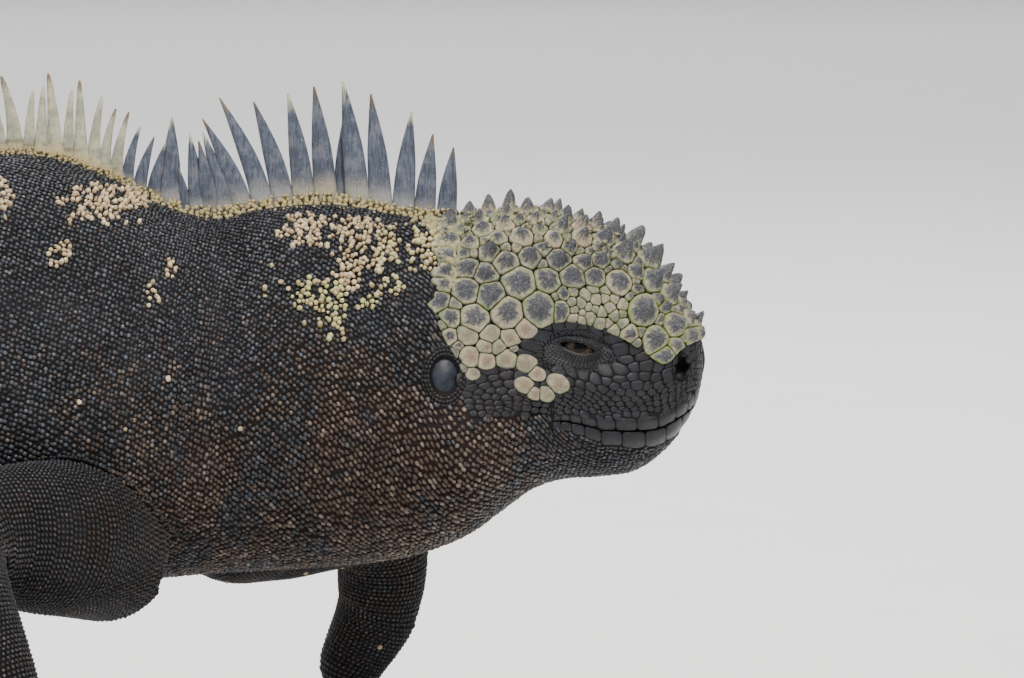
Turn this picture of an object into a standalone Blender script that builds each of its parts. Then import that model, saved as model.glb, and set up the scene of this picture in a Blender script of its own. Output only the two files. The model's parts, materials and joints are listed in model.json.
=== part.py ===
"""A marine iguana at life size, resting on its hands, belly, feet and tail with its forebody raised.

The model stands on the floor at z = 0. +X runs from the tail to the snout and +Y to the animal's left.
Sizes are in millimetres; a station is a distance in millimetres behind the tip of the snout.
"""

import math
import random

import bmesh
import bpy
import numpy as np
from mathutils import Matrix, Vector

MM = 0.001
GAP = 0.3
SEED = 11

SNOUT_TO_VENT = 450.0
TAIL_LENGTH = 600.0
TAIL_TIP = SNOUT_TO_VENT + TAIL_LENGTH
TAIL_BEND_FROM = 455.0
TAIL_SWING = math.radians(38.0)
TAIL_WAVES = 0.85

# The model's bounding box is centred on the origin by this shift of the snout tip.
SNOUT_X = 506.0
SNOUT_Y = -1.0

# Station, height of the back, height of the underside, half width, height of the widest line,
# and how square the outline is above and below that line (2 is an ellipse).
BODY = [
    (0.2, 126.5, 115.0, 6.0, 120.5, 2.2, 2.2),
    (1.4, 130.0, 109.5, 9.5, 118.5, 2.3, 2.2),
    (3.4, 133.0, 105.2, 12.2, 116.0, 2.4, 2.2),
    (6.2, 137.5, 100.6, 14.4, 114.0, 2.5, 2.2),
    (10.4, 143.5, 95.6, 16.6, 112.0, 2.5, 2.2),
    (17.4, 150.9, 90.2, 19.0, 110.5, 2.5, 2.2),
    (28.6, 157.0, 87.9, 21.8, 110.0, 2.5, 2.2),
    (39.8, 160.8, 87.2, 25.5, 109.0, 2.4, 2.2),
    (48.0, 162.2, 84.6, 29.0, 107.0, 2.3, 2.2),
    (56.6, 162.0, 78.4, 32.8, 104.5, 2.15, 2.2),
    (65.0, 160.8, 72.3, 35.8, 103.0, 2.05, 2.2),
    (76.2, 160.6, 67.4, 37.4, 103.5, 1.95, 2.2),
    (87.4, 162.6, 64.6, 37.4, 105.0, 1.85, 2.2),
    (101.4, 164.9, 63.0, 37.0, 107.0, 1.8, 2.2),
    (112.6, 164.9, 62.2, 37.4, 108.0, 1.8, 2.2),
    (123.8, 163.6, 61.6, 38.8, 108.0, 1.8, 2.2),
    (136.0, 161.4, 60.8, 41.0, 107.0, 1.8, 2.2),
    (150.4, 164.6, 59.6, 44.0, 106.0, 1.85, 2.2),
    (165.8, 172.4, 58.0, 47.0, 105.0, 1.9, 2.2),
    (182.6, 178.0, 55.4, 50.0, 102.0, 1.95, 2.2),
    (200.0, 178.6, 51.4, 53.0, 99.0, 2.0, 2.2),
    (240.0, 171.5, 39.5, 60.0, 87.0, 2.05, 2.25),
    (290.0, 155.5, 21.5, 66.0, 71.0, 2.1, 2.3),
    (340.0, 135.0, 4.5, 67.0, 55.0, 2.1, 2.4),
    (385.0, 115.0, -2.0, 61.0, 44.0, 2.1, 2.4),
    (420.0, 99.0, -2.5, 50.0, 39.0, 2.1, 2.4),
    (450.0, 84.0, -2.5, 39.0, 34.0, 2.0, 2.3),
    (480.0, 71.5, -2.0, 30.0, 30.0, 2.0, 2.2),
    (520.0, 62.0, -1.8, 22.5, 26.0, 1.95, 2.1),
    (580.0, 55.5, -1.5, 17.0, 23.0, 1.9, 2.1),
    (660.0, 49.0, -1.3, 13.6, 20.0, 1.9, 2.1),
    (760.0, 41.0, -1.1, 10.6, 17.0, 1.9, 2.1),
    (860.0, 31.5, -0.9, 7.9, 13.5, 1.9, 2.1),
    (950.0, 22.0, -0.7, 5.4, 9.5, 1.9, 2.1),
    (1010.0, 13.5, -0.5, 3.5, 6.0, 1.9, 2.1),
    (1042.0, 7.0, -0.3, 1.9, 3.2, 1.9, 2.1),
    (1050.0, 4.2, -0.2, 1.1, 1.9, 1.9, 2.1),
]

# Soft swellings and hollows on both sides of the head and neck:
# station, height, half length, half height and how far the skin moves outwards.
SWELLINGS = {
    "brow": (33.0, 138.4, 15.0, 5.0, 2.4),
    "orbit": (33.5, 125.6, 13.5, 6.5, -2.4),
    "lids": (35.0, 125.2, 6.4, 5.2, 0.6),
    "cheekbone": (33.0, 115.0, 17.0, 4.5, 1.2),
    "nose": (8.5, 130.0, 6.0, 6.0, 1.3),
    "temple": (57.0, 122.5, 8.0, 9.0, -1.6),
    "jowl": (66.0, 97.0, 17.0, 16.0, 4.2),
    "ear_rim": (71.6, 119.6, 7.5, 8.0, 1.4),
    "nape_fold": (134.0, 134.0, 6.0, 34.0, -2.6),
    "shoulder": (172.0, 108.0, 22.0, 30.0, 3.0),
}

# The line of the mouth: stations and heights from the front of the snout to its corner.
MOUTH_STATIONS = (-6.0, 1.4, 4.8, 8.7, 12.9, 19.3, 28.0, 32.2, 38.4, 42.0)
MOUTH_HEIGHTS = (110.5, 109.0, 106.9, 104.5, 102.7, 102.4, 102.9, 104.3, 105.9, 106.1)
# The jaw is parted from the head by a block that slopes back behind the corner of the mouth.
JAW_SLOPE = 3.0
JAW_FLOOR = 70.0
JAW_REACH = 60.0
LIP_OFFSET = 2.6
LIP_HALF_HEIGHT = 1.8
LIP_SWELL = 0.9

# The swellings fade towards the blunt tip of the snout and towards the midline.
SWELLING_FADE = 6.0
SWELLING_RISE_SHARE = 0.3
OUTLINE_POINTS = 360

# Where the body is parted into nodes, and how many points go round each of them.
NODE_CUTS = {
    "head": (0.2, 81.5, 30),
    "neck": (81.5, 145.0, 26),
    "chest": (145.0, 235.0, 24),
    "belly": (235.0, 345.0, 24),
    "pelvis": (345.0, 468.0, 24),
    "tail_base": (468.0, 600.0, 16),
    "tail_middle": (600.0, 750.0, 12),
    "tail_rear": (750.0, 900.0, 10),
    "tail_tip": (900.0, 1050.0, 8),
}
RING_SPACING = {
    "head": 4.8,
    "neck": 9.0,
    "chest": 13.0,
    "belly": 16.0,
    "pelvis": 15.0,
    "tail_base": 20.0,
    "tail_middle": 22.0,
    "tail_rear": 25.0,
    "tail_tip": 25.0,
}

BLUNT_STATIONS = (0.2, 1.4, 3.4, 6.2)
BLUNT_END = 9.5

# The crest: station, height of the spines, distance between them, and lean backwards in degrees.
CREST = [
    (68.5, 17.5, 5.9, -7.0),
    (80.0, 26.0, 5.9, -4.0),
    (92.0, 32.0, 5.8, 5.0),
    (104.0, 31.0, 5.8, 9.0),
    (117.0, 31.0, 5.6, 18.0),
    (126.0, 29.5, 5.4, 23.0),
    (134.0, 26.0, 5.0, 13.0),
    (141.0, 20.0, 5.0, 5.0),
    (149.0, 21.0, 4.9, -2.0),
    (157.0, 15.5, 4.9, -14.0),
    (168.0, 18.0, 4.9, -11.0),
    (182.0, 22.0, 4.9, 0.0),
    (196.0, 20.0, 4.9, 8.0),
    (240.0, 16.5, 6.0, 20.0),
    (300.0, 14.0, 7.0, 28.0),
    (360.0, 12.0, 7.6, 33.0),
    (450.0, 9.5, 8.4, 33.0),
    (520.0, 8.5, 11.0, 22.0),
    (700.0, 7.0, 14.0, 17.0),
    (900.0, 5.0, 16.0, 20.0),
    (1050.0, 2.5, 17.0, 26.0),
]
SPINE_SINK = 3.0
SPINE_SINK_SHARE = 0.3
SPINE_SHOULDER = 0.5
SPINE_SHOULDER_WIDTH = 0.8
SPINE_HEIGHT_RANGE = (0.9, 1.08)
SPINE_HOOK = 0.08
SPINE_LENGTH_SHARE = 0.9
CREST_CLEAR_SHARE = 0.6
SPINE_THICKNESS_SHARE = 0.4
SPINE_THINNEST = 0.9

# The shields of the crown, and the height of the crown's lower edge at a few stations.
SCUTE_SPACING = 7.7
SCUTE_ROWS = 8
SCUTE_RADIUS = 4.15
SCUTE_EDGE_SHARE = 0.3
SCUTE_SINK = 1.2
SCUTE_RISE = 0.8
SCUTE_STATIONS = (3.6, 73.0)
SCUTE_SIDES = 6
SCUTE_TOP_SHARE = 0.84
SCUTE_LEAN = 0.2
SCUTE_SIZE_RANGE = (0.86, 1.0)
SCUTE_SHIFT = 0.4
SCUTE_TURN = 0.2
SCUTE_LAST_TURN = 0.32
NORMAL_STEP = 0.8
NORMAL_POINTS = 4
HEAD_MIDDLE = 112.0
CROWN_EDGE = [
    (1.0, 129.0),
    (6.0, 126.0),
    (11.0, 122.0),
    (16.0, 123.5),
    (22.0, 127.0),
    (30.0, 132.5),
    (40.0, 135.5),
    (47.0, 132.0),
    (51.0, 123.0),
    (56.0, 117.5),
    (62.0, 117.5),
    (66.0, 124.0),
    (70.0, 129.5),
    (74.0, 134.0),
]
CONE_HEIGHT = [
    (4.0, 3.0),
    (12.0, 5.0),
    (24.0, 4.6),
    (40.0, 3.6),
    (56.0, 3.2),
    (74.0, 2.8),
]
CONE_FLANK_SHARE = 0.45

EYE_STATION = 35.2
EYE_HEIGHT = 125.2
EYE_SIDE = 16.6
EYE_RADIUS = 6.6
LID_RADII = (9.2, 8.1, 7.6)
LID_OPENING_RADII = (5.1, 7.0, 2.2)
LID_OPENING_OUT = 6.0
LID_SLANT = math.radians(12.0)
EAR_STATION = 71.6
EAR_HEIGHT = 119.6
EAR_HALF_LENGTH = 3.6
EAR_HALF_HEIGHT = 4.7
EAR_PIT_DEPTH = 4.2
EAR_DRUM_DEPTH = 1.9
EAR_DRUM_THICKNESS = 1.8
EAR_DRUM_SHARE = 0.85
NOSTRIL_STATION = 6.2
NOSTRIL_HEIGHT = 120.0
NOSTRIL_RADII = (2.1, 3.0, 2.7)

SKIN = (0.045, 0.042, 0.045)
CLAW = (0.03, 0.028, 0.028)
IRIS = (0.10, 0.06, 0.03)


def clear_scene():
    """Empties the scene that the script starts in."""
    for thing in list(bpy.data.objects):
        bpy.data.objects.remove(thing)


def make_material(name, colour, roughness):
    """A plain finish for the solids."""
    material = bpy.data.materials.new(name)
    material.use_nodes = True
    shader = material.node_tree.nodes["Principled BSDF"]
    shader.inputs["Base Color"].default_value = (*colour, 1.0)
    shader.inputs["Roughness"].default_value = roughness
    shader.inputs["Metallic"].default_value = 0.0
    return material


def smooth_values(table, at):
    """Reads a table of rows at a station, along smooth curves through the rows."""
    rows = np.array(table)
    keys = rows[:, 0]
    values = rows[:, 1:]
    slopes = np.gradient(values, keys, axis=0)
    at = min(max(at, keys[0]), keys[-1])
    i = min(int(np.searchsorted(keys, at, side="right")) - 1, len(keys) - 2)
    span = keys[i + 1] - keys[i]
    u = (at - keys[i]) / span
    stay = (1 + 2 * u) * (1 - u) ** 2
    leave = u * (1 - u) ** 2
    reach = u * u * (3 - 2 * u)
    arrive = u * u * (u - 1)
    start = stay * values[i] + leave * span * slopes[i]
    return start + reach * values[i + 1] + arrive * span * slopes[i + 1]


def tail_heading(station):
    """How far the backbone turns towards +Y, away from straight back."""
    u = (station - TAIL_BEND_FROM) / (TAIL_TIP - TAIL_BEND_FROM)
    return TAIL_SWING * math.sin(2 * math.pi * TAIL_WAVES * u) * math.sqrt(u) if u > 0 else 0.0


def backbone_table(step=2.0):
    """Stations and places of points along the backbone, seen from above."""
    stations = np.arange(0.0, TAIL_TIP + step, step)
    turns = np.array([tail_heading(s + step / 2) for s in stations[:-1]])
    x = SNOUT_X - np.concatenate([[0.0], np.cumsum(np.cos(turns) * step)])
    y = SNOUT_Y + np.concatenate([[0.0], np.cumsum(np.sin(turns) * step)])
    return stations, x, y


BACKBONE = backbone_table()


def backbone_point(station):
    """Where the backbone passes at a station, seen from above."""
    stations, x, y = BACKBONE
    return float(np.interp(station, stations, x)), float(np.interp(station, stations, y))


def mouth_height(station):
    """The height of the line of the mouth."""
    return np.interp(station, MOUTH_STATIONS, MOUTH_HEIGHTS)


def skin_offset(station, side, height):
    """How far the swellings, hollows and lips move the skin outwards."""
    offset = np.zeros_like(height)
    for place, level, half_length, half_height, move in SWELLINGS.values():
        distance = ((station - place) / half_length) ** 2 + ((height - level) / half_height) ** 2
        offset += move * np.exp(-distance)
    if station < MOUTH_STATIONS[-1]:
        for sign in (-1, 1):
            away = (height - mouth_height(station) - sign * LIP_OFFSET) / LIP_HALF_HEIGHT
            offset += LIP_SWELL * np.exp(-away * away)
    blunt = min(1.0, station / SWELLING_FADE)
    return offset * blunt * np.minimum(1.0, np.abs(side) / SWELLING_FADE)


def section(station, count, grow=0.0):
    """The outline of the body at a station, as points from the back round the left side."""
    top, under, half_width, wide, square_up, square_down = smooth_values(BODY, station)
    turn = np.linspace(0.0, 2 * math.pi, OUTLINE_POINTS, endpoint=False)
    across, upward = np.sin(turn), np.cos(turn)
    square = np.where(upward > 0, square_up, square_down)
    reach = np.where(upward > 0, top - wide, wide - under) + grow
    side = (half_width + grow) * np.sign(across) * np.abs(across) ** (2 / square)
    height = wide + reach * np.sign(upward) * np.abs(upward) ** (2 / square)
    out = np.hypot(side, height - wide) + 1e-9
    offset = skin_offset(station, side, height)
    side += offset * side / out
    height += offset * (height - wide) / out * SWELLING_RISE_SHARE
    closed_side = np.append(side, side[0])
    closed_height = np.append(height, height[0])
    lengths = np.hypot(np.diff(closed_side), np.diff(closed_height))
    run = np.concatenate([[0.0], np.cumsum(lengths)])
    stops = np.linspace(0.0, run[-1], count, endpoint=False)
    side = np.interp(stops, run, closed_side)
    height = np.maximum(np.interp(stops, run, closed_height), 0.0)
    x, y = backbone_point(station)
    turned = tail_heading(station)
    return np.column_stack([x + side * math.sin(turned), y + side * math.cos(turned), height])


def surface_point(station, height, sign):
    """The point of the body's side at a station and height, on the left (1) or right (-1)."""
    ring = section(station, OUTLINE_POINTS)
    sides = ring[:, 1] - backbone_point(station)[1]
    chosen = ring[sides * sign > 0]
    chosen = chosen[np.argmin(np.abs(chosen[:, 2] - height))]
    return np.array([chosen[0], chosen[1], height])


def node_stations(name):
    """The stations of a node's rings, a gap short of its neighbours at each end."""
    first, last, _ = NODE_CUTS[name]
    start = first if name == "head" else first + GAP / 2
    end = last if name == "tail_tip" else last - GAP / 2
    count = max(2, round((last - first) / RING_SPACING[name]) + 1)
    stations = np.linspace(start, end, count)
    if name == "head":
        stations = np.concatenate([BLUNT_STATIONS, np.linspace(BLUNT_END, end, count - 2)])
    return stations


def mesh_object(name, bm, material=None):
    """Makes an object of a bmesh, in metres, with its faces pointing out."""
    bmesh.ops.recalc_face_normals(bm, faces=bm.faces)
    mesh = bpy.data.meshes.new(name)
    bmesh.ops.scale(bm, vec=(MM, MM, MM), verts=bm.verts)
    bm.to_mesh(mesh)
    bm.free()
    made = bpy.data.objects.new(name, mesh)
    bpy.context.scene.collection.objects.link(made)
    if material:
        mesh.materials.append(material)
    return made


def loft(name, rings, material=None):
    """A closed solid through a run of rings that have the same number of points."""
    bm = bmesh.new()
    loops = [[bm.verts.new(point) for point in ring] for ring in rings]
    for near, far in zip(loops, loops[1:]):
        count = len(near)
        for i in range(count):
            j = (i + 1) % count
            bm.faces.new((near[i], near[j], far[j], far[i]))
    bm.faces.new(loops[0])
    bm.faces.new(loops[-1][::-1])
    bmesh.ops.triangulate(bm, faces=bm.faces)
    return mesh_object(name, bm, material)


def keep_largest(mesh):
    """Drops all but the largest closed surface of a mesh."""
    bm = bmesh.new()
    bm.from_mesh(mesh)
    left = set(bm.verts)
    groups = []
    while left:
        seed = left.pop()
        group, edge_of = {seed}, [seed]
        while edge_of:
            for edge in edge_of.pop().link_edges:
                for vert in edge.verts:
                    if vert in left:
                        left.discard(vert)
                        group.add(vert)
                        edge_of.append(vert)
        groups.append(group)
    groups.sort(key=len)
    loose = [vert for group in groups[:-1] for vert in group]
    bmesh.ops.delete(bm, geom=loose, context="VERTS")
    bm.to_mesh(mesh)
    bm.free()


def combine(host, others, operation, solver="MANIFOLD"):
    """Joins a collection of closed objects to the host, or cuts them from it, and removes them."""
    group = bpy.data.collections.new("pieces")
    for other in others:
        group.objects.link(other)
    change = host.modifiers.new(operation.lower(), "BOOLEAN")
    change.operation = operation
    change.operand_type = "COLLECTION"
    change.collection = group
    change.solver = solver
    graph = bpy.context.evaluated_depsgraph_get()
    made = bpy.data.meshes.new_from_object(host.evaluated_get(graph))
    host.modifiers.remove(change)
    host.data = made
    keep_largest(made)
    for other in list(others):
        bpy.data.objects.remove(other)
    bpy.data.collections.remove(group)


def meet(host, other):
    """Keeps what the host shares with another closed object, which stays."""
    change = host.modifiers.new("meet", "BOOLEAN")
    change.operation = "INTERSECT"
    change.object = other
    change.solver = "EXACT"
    graph = bpy.context.evaluated_depsgraph_get()
    host_mesh = bpy.data.meshes.new_from_object(host.evaluated_get(graph))
    host.modifiers.remove(change)
    host.data = host_mesh
    keep_largest(host_mesh)


def crest_spine(station, height, length, thickness, lean):
    """One spine: a flattened blade, wide to half its height, whose root is sunk in the back."""
    x, y = backbone_point(station)
    top = smooth_values(BODY, station)[0]
    turned = tail_heading(station)
    back = Vector((-math.cos(turned), math.sin(turned), 0.0))
    side = Vector((math.sin(turned), math.cos(turned), 0.0))
    up = Vector((0.0, 0.0, 1.0)) * math.cos(lean) + back * math.sin(lean)
    along = back * math.cos(lean) - Vector((0.0, 0.0, 1.0)) * math.sin(lean)
    root = Vector((x, y, top))
    sink = min(SPINE_SINK, top * SPINE_SINK_SHARE)
    bm = bmesh.new()
    rings = []
    for rise, width in ((-sink, 1.0), (SPINE_SHOULDER * height, SPINE_SHOULDER_WIDTH)):
        middle = root + up * rise
        a = along * (length * width / 2)
        b = side * (thickness * width / 2)
        rings.append([bm.verts.new(middle + d) for d in (a, b, -a, -b)])
    tip = bm.verts.new(root + up * height + along * (SPINE_HOOK * height))
    low, high = rings
    for i in range(4):
        j = (i + 1) % 4
        bm.faces.new((low[i], low[j], high[j], high[i]))
        bm.faces.new((high[i], high[j], tip))
    bm.faces.new(low[::-1])
    bmesh.ops.triangulate(bm, faces=bm.faces)
    return mesh_object("spine", bm)


def crest_stations(name):
    """The stations of a node's spines, a little over half a space clear of its cuts."""
    first, last, _ = NODE_CUTS[name]
    first = max(CREST[0][0], first)
    start = first + smooth_values(CREST, first)[1] * CREST_CLEAR_SHARE
    end = last - smooth_values(CREST, last)[1] * CREST_CLEAR_SHARE
    count = round((end - start) / smooth_values(CREST, (start + end) / 2)[1]) + 1
    return np.linspace(start, end, count)


def crest_spines(name, chance):
    """The spines that stand on one node of the body."""
    made = []
    for station in crest_stations(name):
        height, spacing, lean = smooth_values(CREST, station)
        length = spacing * SPINE_LENGTH_SHARE
        thickness = max(SPINE_THINNEST, length * SPINE_THICKNESS_SHARE)
        tall = height * chance.uniform(*SPINE_HEIGHT_RANGE)
        made.append(crest_spine(station, tall, length, thickness, math.radians(lean)))
    return made


def point_and_normal(station, turn):
    """The point a share of the way round the outline from the back, and the way out of the skin."""
    here = section(station, OUTLINE_POINTS)
    index = int(round(turn * OUTLINE_POINTS)) % OUTLINE_POINTS
    ahead = section(station - NORMAL_STEP, OUTLINE_POINTS)[index]
    behind = section(station + NORMAL_STEP, OUTLINE_POINTS)[index]
    onward = (index + NORMAL_POINTS) % OUTLINE_POINTS
    around = here[onward] - here[index - NORMAL_POINTS]
    normal = np.cross(around, behind - ahead)
    normal /= np.linalg.norm(normal)
    centre = np.array([here[index][0], backbone_point(station)[1], HEAD_MIDDLE])
    if np.dot(normal, here[index] - centre) < 0:
        normal = -normal
    return here[index], normal


def scute(point, normal, radius, height, turned):
    """One shield of the crown: a six-sided plate with a conical middle, its foot sunk in the head."""
    normal = Vector(normal)
    middle = Vector(point)
    ahead = Vector((1.0, 0.0, 0.0))
    across = normal.cross(ahead).normalized()
    other = normal.cross(across)
    lean = (normal + (ahead + Vector((0.0, 0.0, 1.0))) * SCUTE_LEAN).normalized()
    turns = [turned + 2 * math.pi * i / SCUTE_SIDES for i in range(SCUTE_SIDES)]
    spread = [across * math.cos(a) + other * math.sin(a) for a in turns]
    bm = bmesh.new()
    low = [bm.verts.new(middle - normal * SCUTE_SINK + d * radius) for d in spread]
    top = radius * SCUTE_TOP_SHARE
    high = [bm.verts.new(middle + normal * SCUTE_RISE + d * top) for d in spread]
    tip = bm.verts.new(middle + lean * height)
    for i in range(SCUTE_SIDES):
        j = (i + 1) % SCUTE_SIDES
        bm.faces.new((low[i], low[j], high[j], high[i]))
        bm.faces.new((high[i], high[j], tip))
    bm.faces.new(low[::-1])
    bmesh.ops.triangulate(bm, faces=bm.faces)
    return mesh_object("scute", bm)


def crown_scutes(chance):
    """The shields of the crown, in staggered rows from the nape to the nose and down to the eyes."""
    made = []
    row_step = SCUTE_SPACING * math.sqrt(3) / 2
    first, last = SCUTE_STATIONS
    for row in range(-SCUTE_ROWS, SCUTE_ROWS + 1):
        station = first + (SCUTE_SPACING / 2 if row % 2 else 0.0)
        while station < last:
            place = station + chance.uniform(-SCUTE_SHIFT, SCUTE_SHIFT)
            station += SCUTE_SPACING
            ring = section(place, OUTLINE_POINTS)
            girth = np.linalg.norm(np.diff(ring, axis=0), axis=1).sum()
            turn = row * row_step / girth
            if abs(turn) > SCUTE_LAST_TURN:
                continue
            point, normal = point_and_normal(place, turn % 1.0)
            if point[2] < smooth_values(CROWN_EDGE, place)[0] + SCUTE_RADIUS * SCUTE_EDGE_SHARE:
                continue
            flank = abs(row) / SCUTE_ROWS
            height = smooth_values(CONE_HEIGHT, place)[0] * (1 - (1 - CONE_FLANK_SHARE) * flank)
            grow = chance.uniform(*SCUTE_SIZE_RANGE)
            turned = chance.uniform(-SCUTE_TURN, SCUTE_TURN)
            made.append(scute(point, normal, SCUTE_RADIUS * grow, height * grow, turned))
    return made


def ellipsoid(name, centre, radii, turns=(0.0, 0.0, 0.0), segments=16, rings=10, material=None):
    """A closed ellipsoid."""
    bm = bmesh.new()
    bmesh.ops.create_uvsphere(bm, u_segments=segments, v_segments=rings, radius=1.0)
    turned = Matrix.Rotation(turns[2], 4, "Z") @ Matrix.Rotation(turns[1], 4, "Y")
    turned = turned @ Matrix.Rotation(turns[0], 4, "X")
    size = Matrix.Diagonal((*radii, 1.0))
    bmesh.ops.transform(bm, matrix=Matrix.Translation(centre) @ turned @ size, verts=bm.verts)
    return mesh_object(name, bm, material)


def mouth_block(name, clear):
    """A block under the line of the mouth, back to the corner of the mouth, for the lower jaw."""
    back = MOUTH_STATIONS[-1] + clear
    stations = [s for s in MOUTH_STATIONS if s < back] + [back]
    line = [(SNOUT_X - s, float(mouth_height(s)) + clear) for s in stations]
    line += [(SNOUT_X - back - JAW_SLOPE, JAW_FLOOR), (SNOUT_X - MOUTH_STATIONS[0], JAW_FLOOR)]
    bm = bmesh.new()
    left = [bm.verts.new((x, SNOUT_Y + JAW_REACH, z)) for x, z in line]
    right = [bm.verts.new((x, SNOUT_Y - JAW_REACH, z)) for x, z in line]
    for i in range(len(line)):
        j = (i + 1) % len(line)
        bm.faces.new((left[i], left[j], right[j], right[i]))
    bm.faces.new(left[::-1])
    bm.faces.new(right)
    bmesh.ops.triangulate(bm, faces=bm.faces)
    return mesh_object(name, bm)


def lid_opening(sign):
    """The slanting almond between the lids, as a cutter."""
    out = sign * (EYE_SIDE + LID_OPENING_OUT)
    centre = Vector((SNOUT_X - EYE_STATION, SNOUT_Y + out, EYE_HEIGHT))
    return ellipsoid("lid_opening", centre, LID_OPENING_RADII, (0.0, LID_SLANT, 0.0), 14, 8)


def build_head(finish, chance):
    """The head, its lower jaw, eyes and ear drums."""
    rings = [section(s, NODE_CUTS["head"][2]) for s in node_stations("head")]
    head = loft("head", rings, finish["skin"])
    jaw = loft("lower_jaw", rings, finish["skin"])
    block = mouth_block("jaw_block", 0.0)
    meet(jaw, block)
    bpy.data.objects.remove(block)
    combine(head, [mouth_block("mouth_cut", GAP)], "DIFFERENCE")
    lids = []
    cutters = []
    for sign, side in ((1, "left"), (-1, "right")):
        eye_place = Vector((SNOUT_X - EYE_STATION, SNOUT_Y + sign * EYE_SIDE, EYE_HEIGHT))
        lids.append(ellipsoid("lids", eye_place, LID_RADII, segments=12, rings=8))
        socket = EYE_RADIUS + GAP
        cutters.append(lid_opening(sign))
        cutters.append(ellipsoid("socket", eye_place, (socket,) * 3, segments=12, rings=8))
        ear = surface_point(EAR_STATION, EAR_HEIGHT, sign)
        pit = (EAR_HALF_LENGTH + GAP, EAR_PIT_DEPTH, EAR_HALF_HEIGHT + GAP)
        cutters.append(ellipsoid("ear_pit", ear, pit, segments=12, rings=8))
        nostril = surface_point(NOSTRIL_STATION, NOSTRIL_HEIGHT, sign)
        cutters.append(ellipsoid("nostril", nostril, NOSTRIL_RADII, segments=8, rings=6))
        eye = ellipsoid("eye_" + side, eye_place, (EYE_RADIUS,) * 3, segments=12, rings=8)
        eye.data.materials.append(finish["eye"])
        drum_place = ear - np.array([0.0, sign * EAR_DRUM_DEPTH, 0.0])
        drum_size = np.array([EAR_HALF_LENGTH, 0.0, EAR_HALF_HEIGHT]) * EAR_DRUM_SHARE
        drum_size[1] = EAR_DRUM_THICKNESS / 2
        drum = ellipsoid("ear_" + side, drum_place, drum_size, segments=12, rings=6)
        drum.data.materials.append(finish["skin"])
    combine(head, lids, "UNION")
    for cutter in cutters:
        combine(head, [cutter], "DIFFERENCE")
    combine(head, crown_scutes(chance), "UNION")
    combine(head, crest_spines("head", chance), "UNION")


def build_trunk_and_tail(finish, chance):
    """The neck, trunk and tail, each with its part of the crest."""
    for name in list(NODE_CUTS)[1:]:
        rings = [section(s, NODE_CUTS[name][2]) for s in node_stations(name)]
        node = loft(name, rings, finish["skin"])
        combine(node, crest_spines(name, chance), "UNION")


def trunk_cutters():
    """The outside of the neck, chest, belly and pelvis, grown by the gap, to cut the legs' roots."""
    made = []
    for name in ("neck", "chest", "belly", "pelvis"):
        first, last, count = NODE_CUTS[name]
        stations = node_stations(name)
        stations[0] = first - GAP / 2
        stations[-1] = last + GAP / 2
        rings = [section(s, count, ROOT_CLEAR) for s in stations]
        made.append(loft(name + "_cutter", rings))
    return made


def smooth_path(points, count):
    """Evenly spaced points on a smooth curve through a few points."""
    points = np.array(points, float)
    keys = np.concatenate([[0.0], np.cumsum(np.linalg.norm(np.diff(points, axis=0), axis=1))])
    table = np.column_stack([keys, points])
    fine = np.array([smooth_values(table, k) for k in np.linspace(0, keys[-1], PATH_POINTS)])
    run = np.concatenate([[0.0], np.cumsum(np.linalg.norm(np.diff(fine, axis=0), axis=1))])
    stops = np.linspace(0, run[-1], count)
    return np.column_stack([np.interp(stops, run, fine[:, i]) for i in range(3)])


def tube_ring(middle, along, radii, sides, reference):
    """One ring of a limb: an ellipse square to the limb's run, kept above the floor."""
    along = Vector(along).normalized()
    across = along.cross(Vector(reference)).normalized()
    upright = across.cross(along)
    ring = []
    for i in range(sides):
        a = 2 * math.pi * i / sides
        point = Vector(middle) + across * (radii[0] * math.cos(a)) + upright * (radii[1] * math.sin(a))
        ring.append((point.x, point.y, max(point.z, 0.0)))
    return ring


def tube_rings(path, radius_at, sides, reference=(0.0, 0.0, 1.0)):
    """The rings of a limb along a path; radius_at gives the two radii a share of the way along."""
    runs = np.gradient(path, axis=0)
    shares = np.linspace(0.0, 1.0, len(path))
    return [tube_ring(p, r, radius_at(u), sides, reference) for p, r, u in zip(path, runs, shares)]


def table_radius(table):
    """A function that reads a limb's two radii from rows of share, radius and radius."""
    return lambda share: tuple(smooth_values(table, share))


# Along a leg: share of its length, and its radii across and upright.
RIGHT_FORE_RADII = (
    (0, 23, 24),
    (0.25, 18, 21),
    (0.48, 14, 15),
    (0.62, 12.5, 13),
    (0.85, 8.5, 8.5),
    (1, 8.5, 6),
)
LEFT_FORE_RADII = (
    (0, 22, 24),
    (0.28, 17, 19.5),
    (0.5, 14.5, 15),
    (0.64, 13, 13.5),
    (0.87, 8.5, 9),
    (1, 8.5, 6),
)
HIND_RADII = (
    (0, 27, 27),
    (0.25, 23.5, 25),
    (0.48, 17, 18),
    (0.62, 15, 15.5),
    (0.86, 9, 9),
    (1, 9, 6),
)
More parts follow.
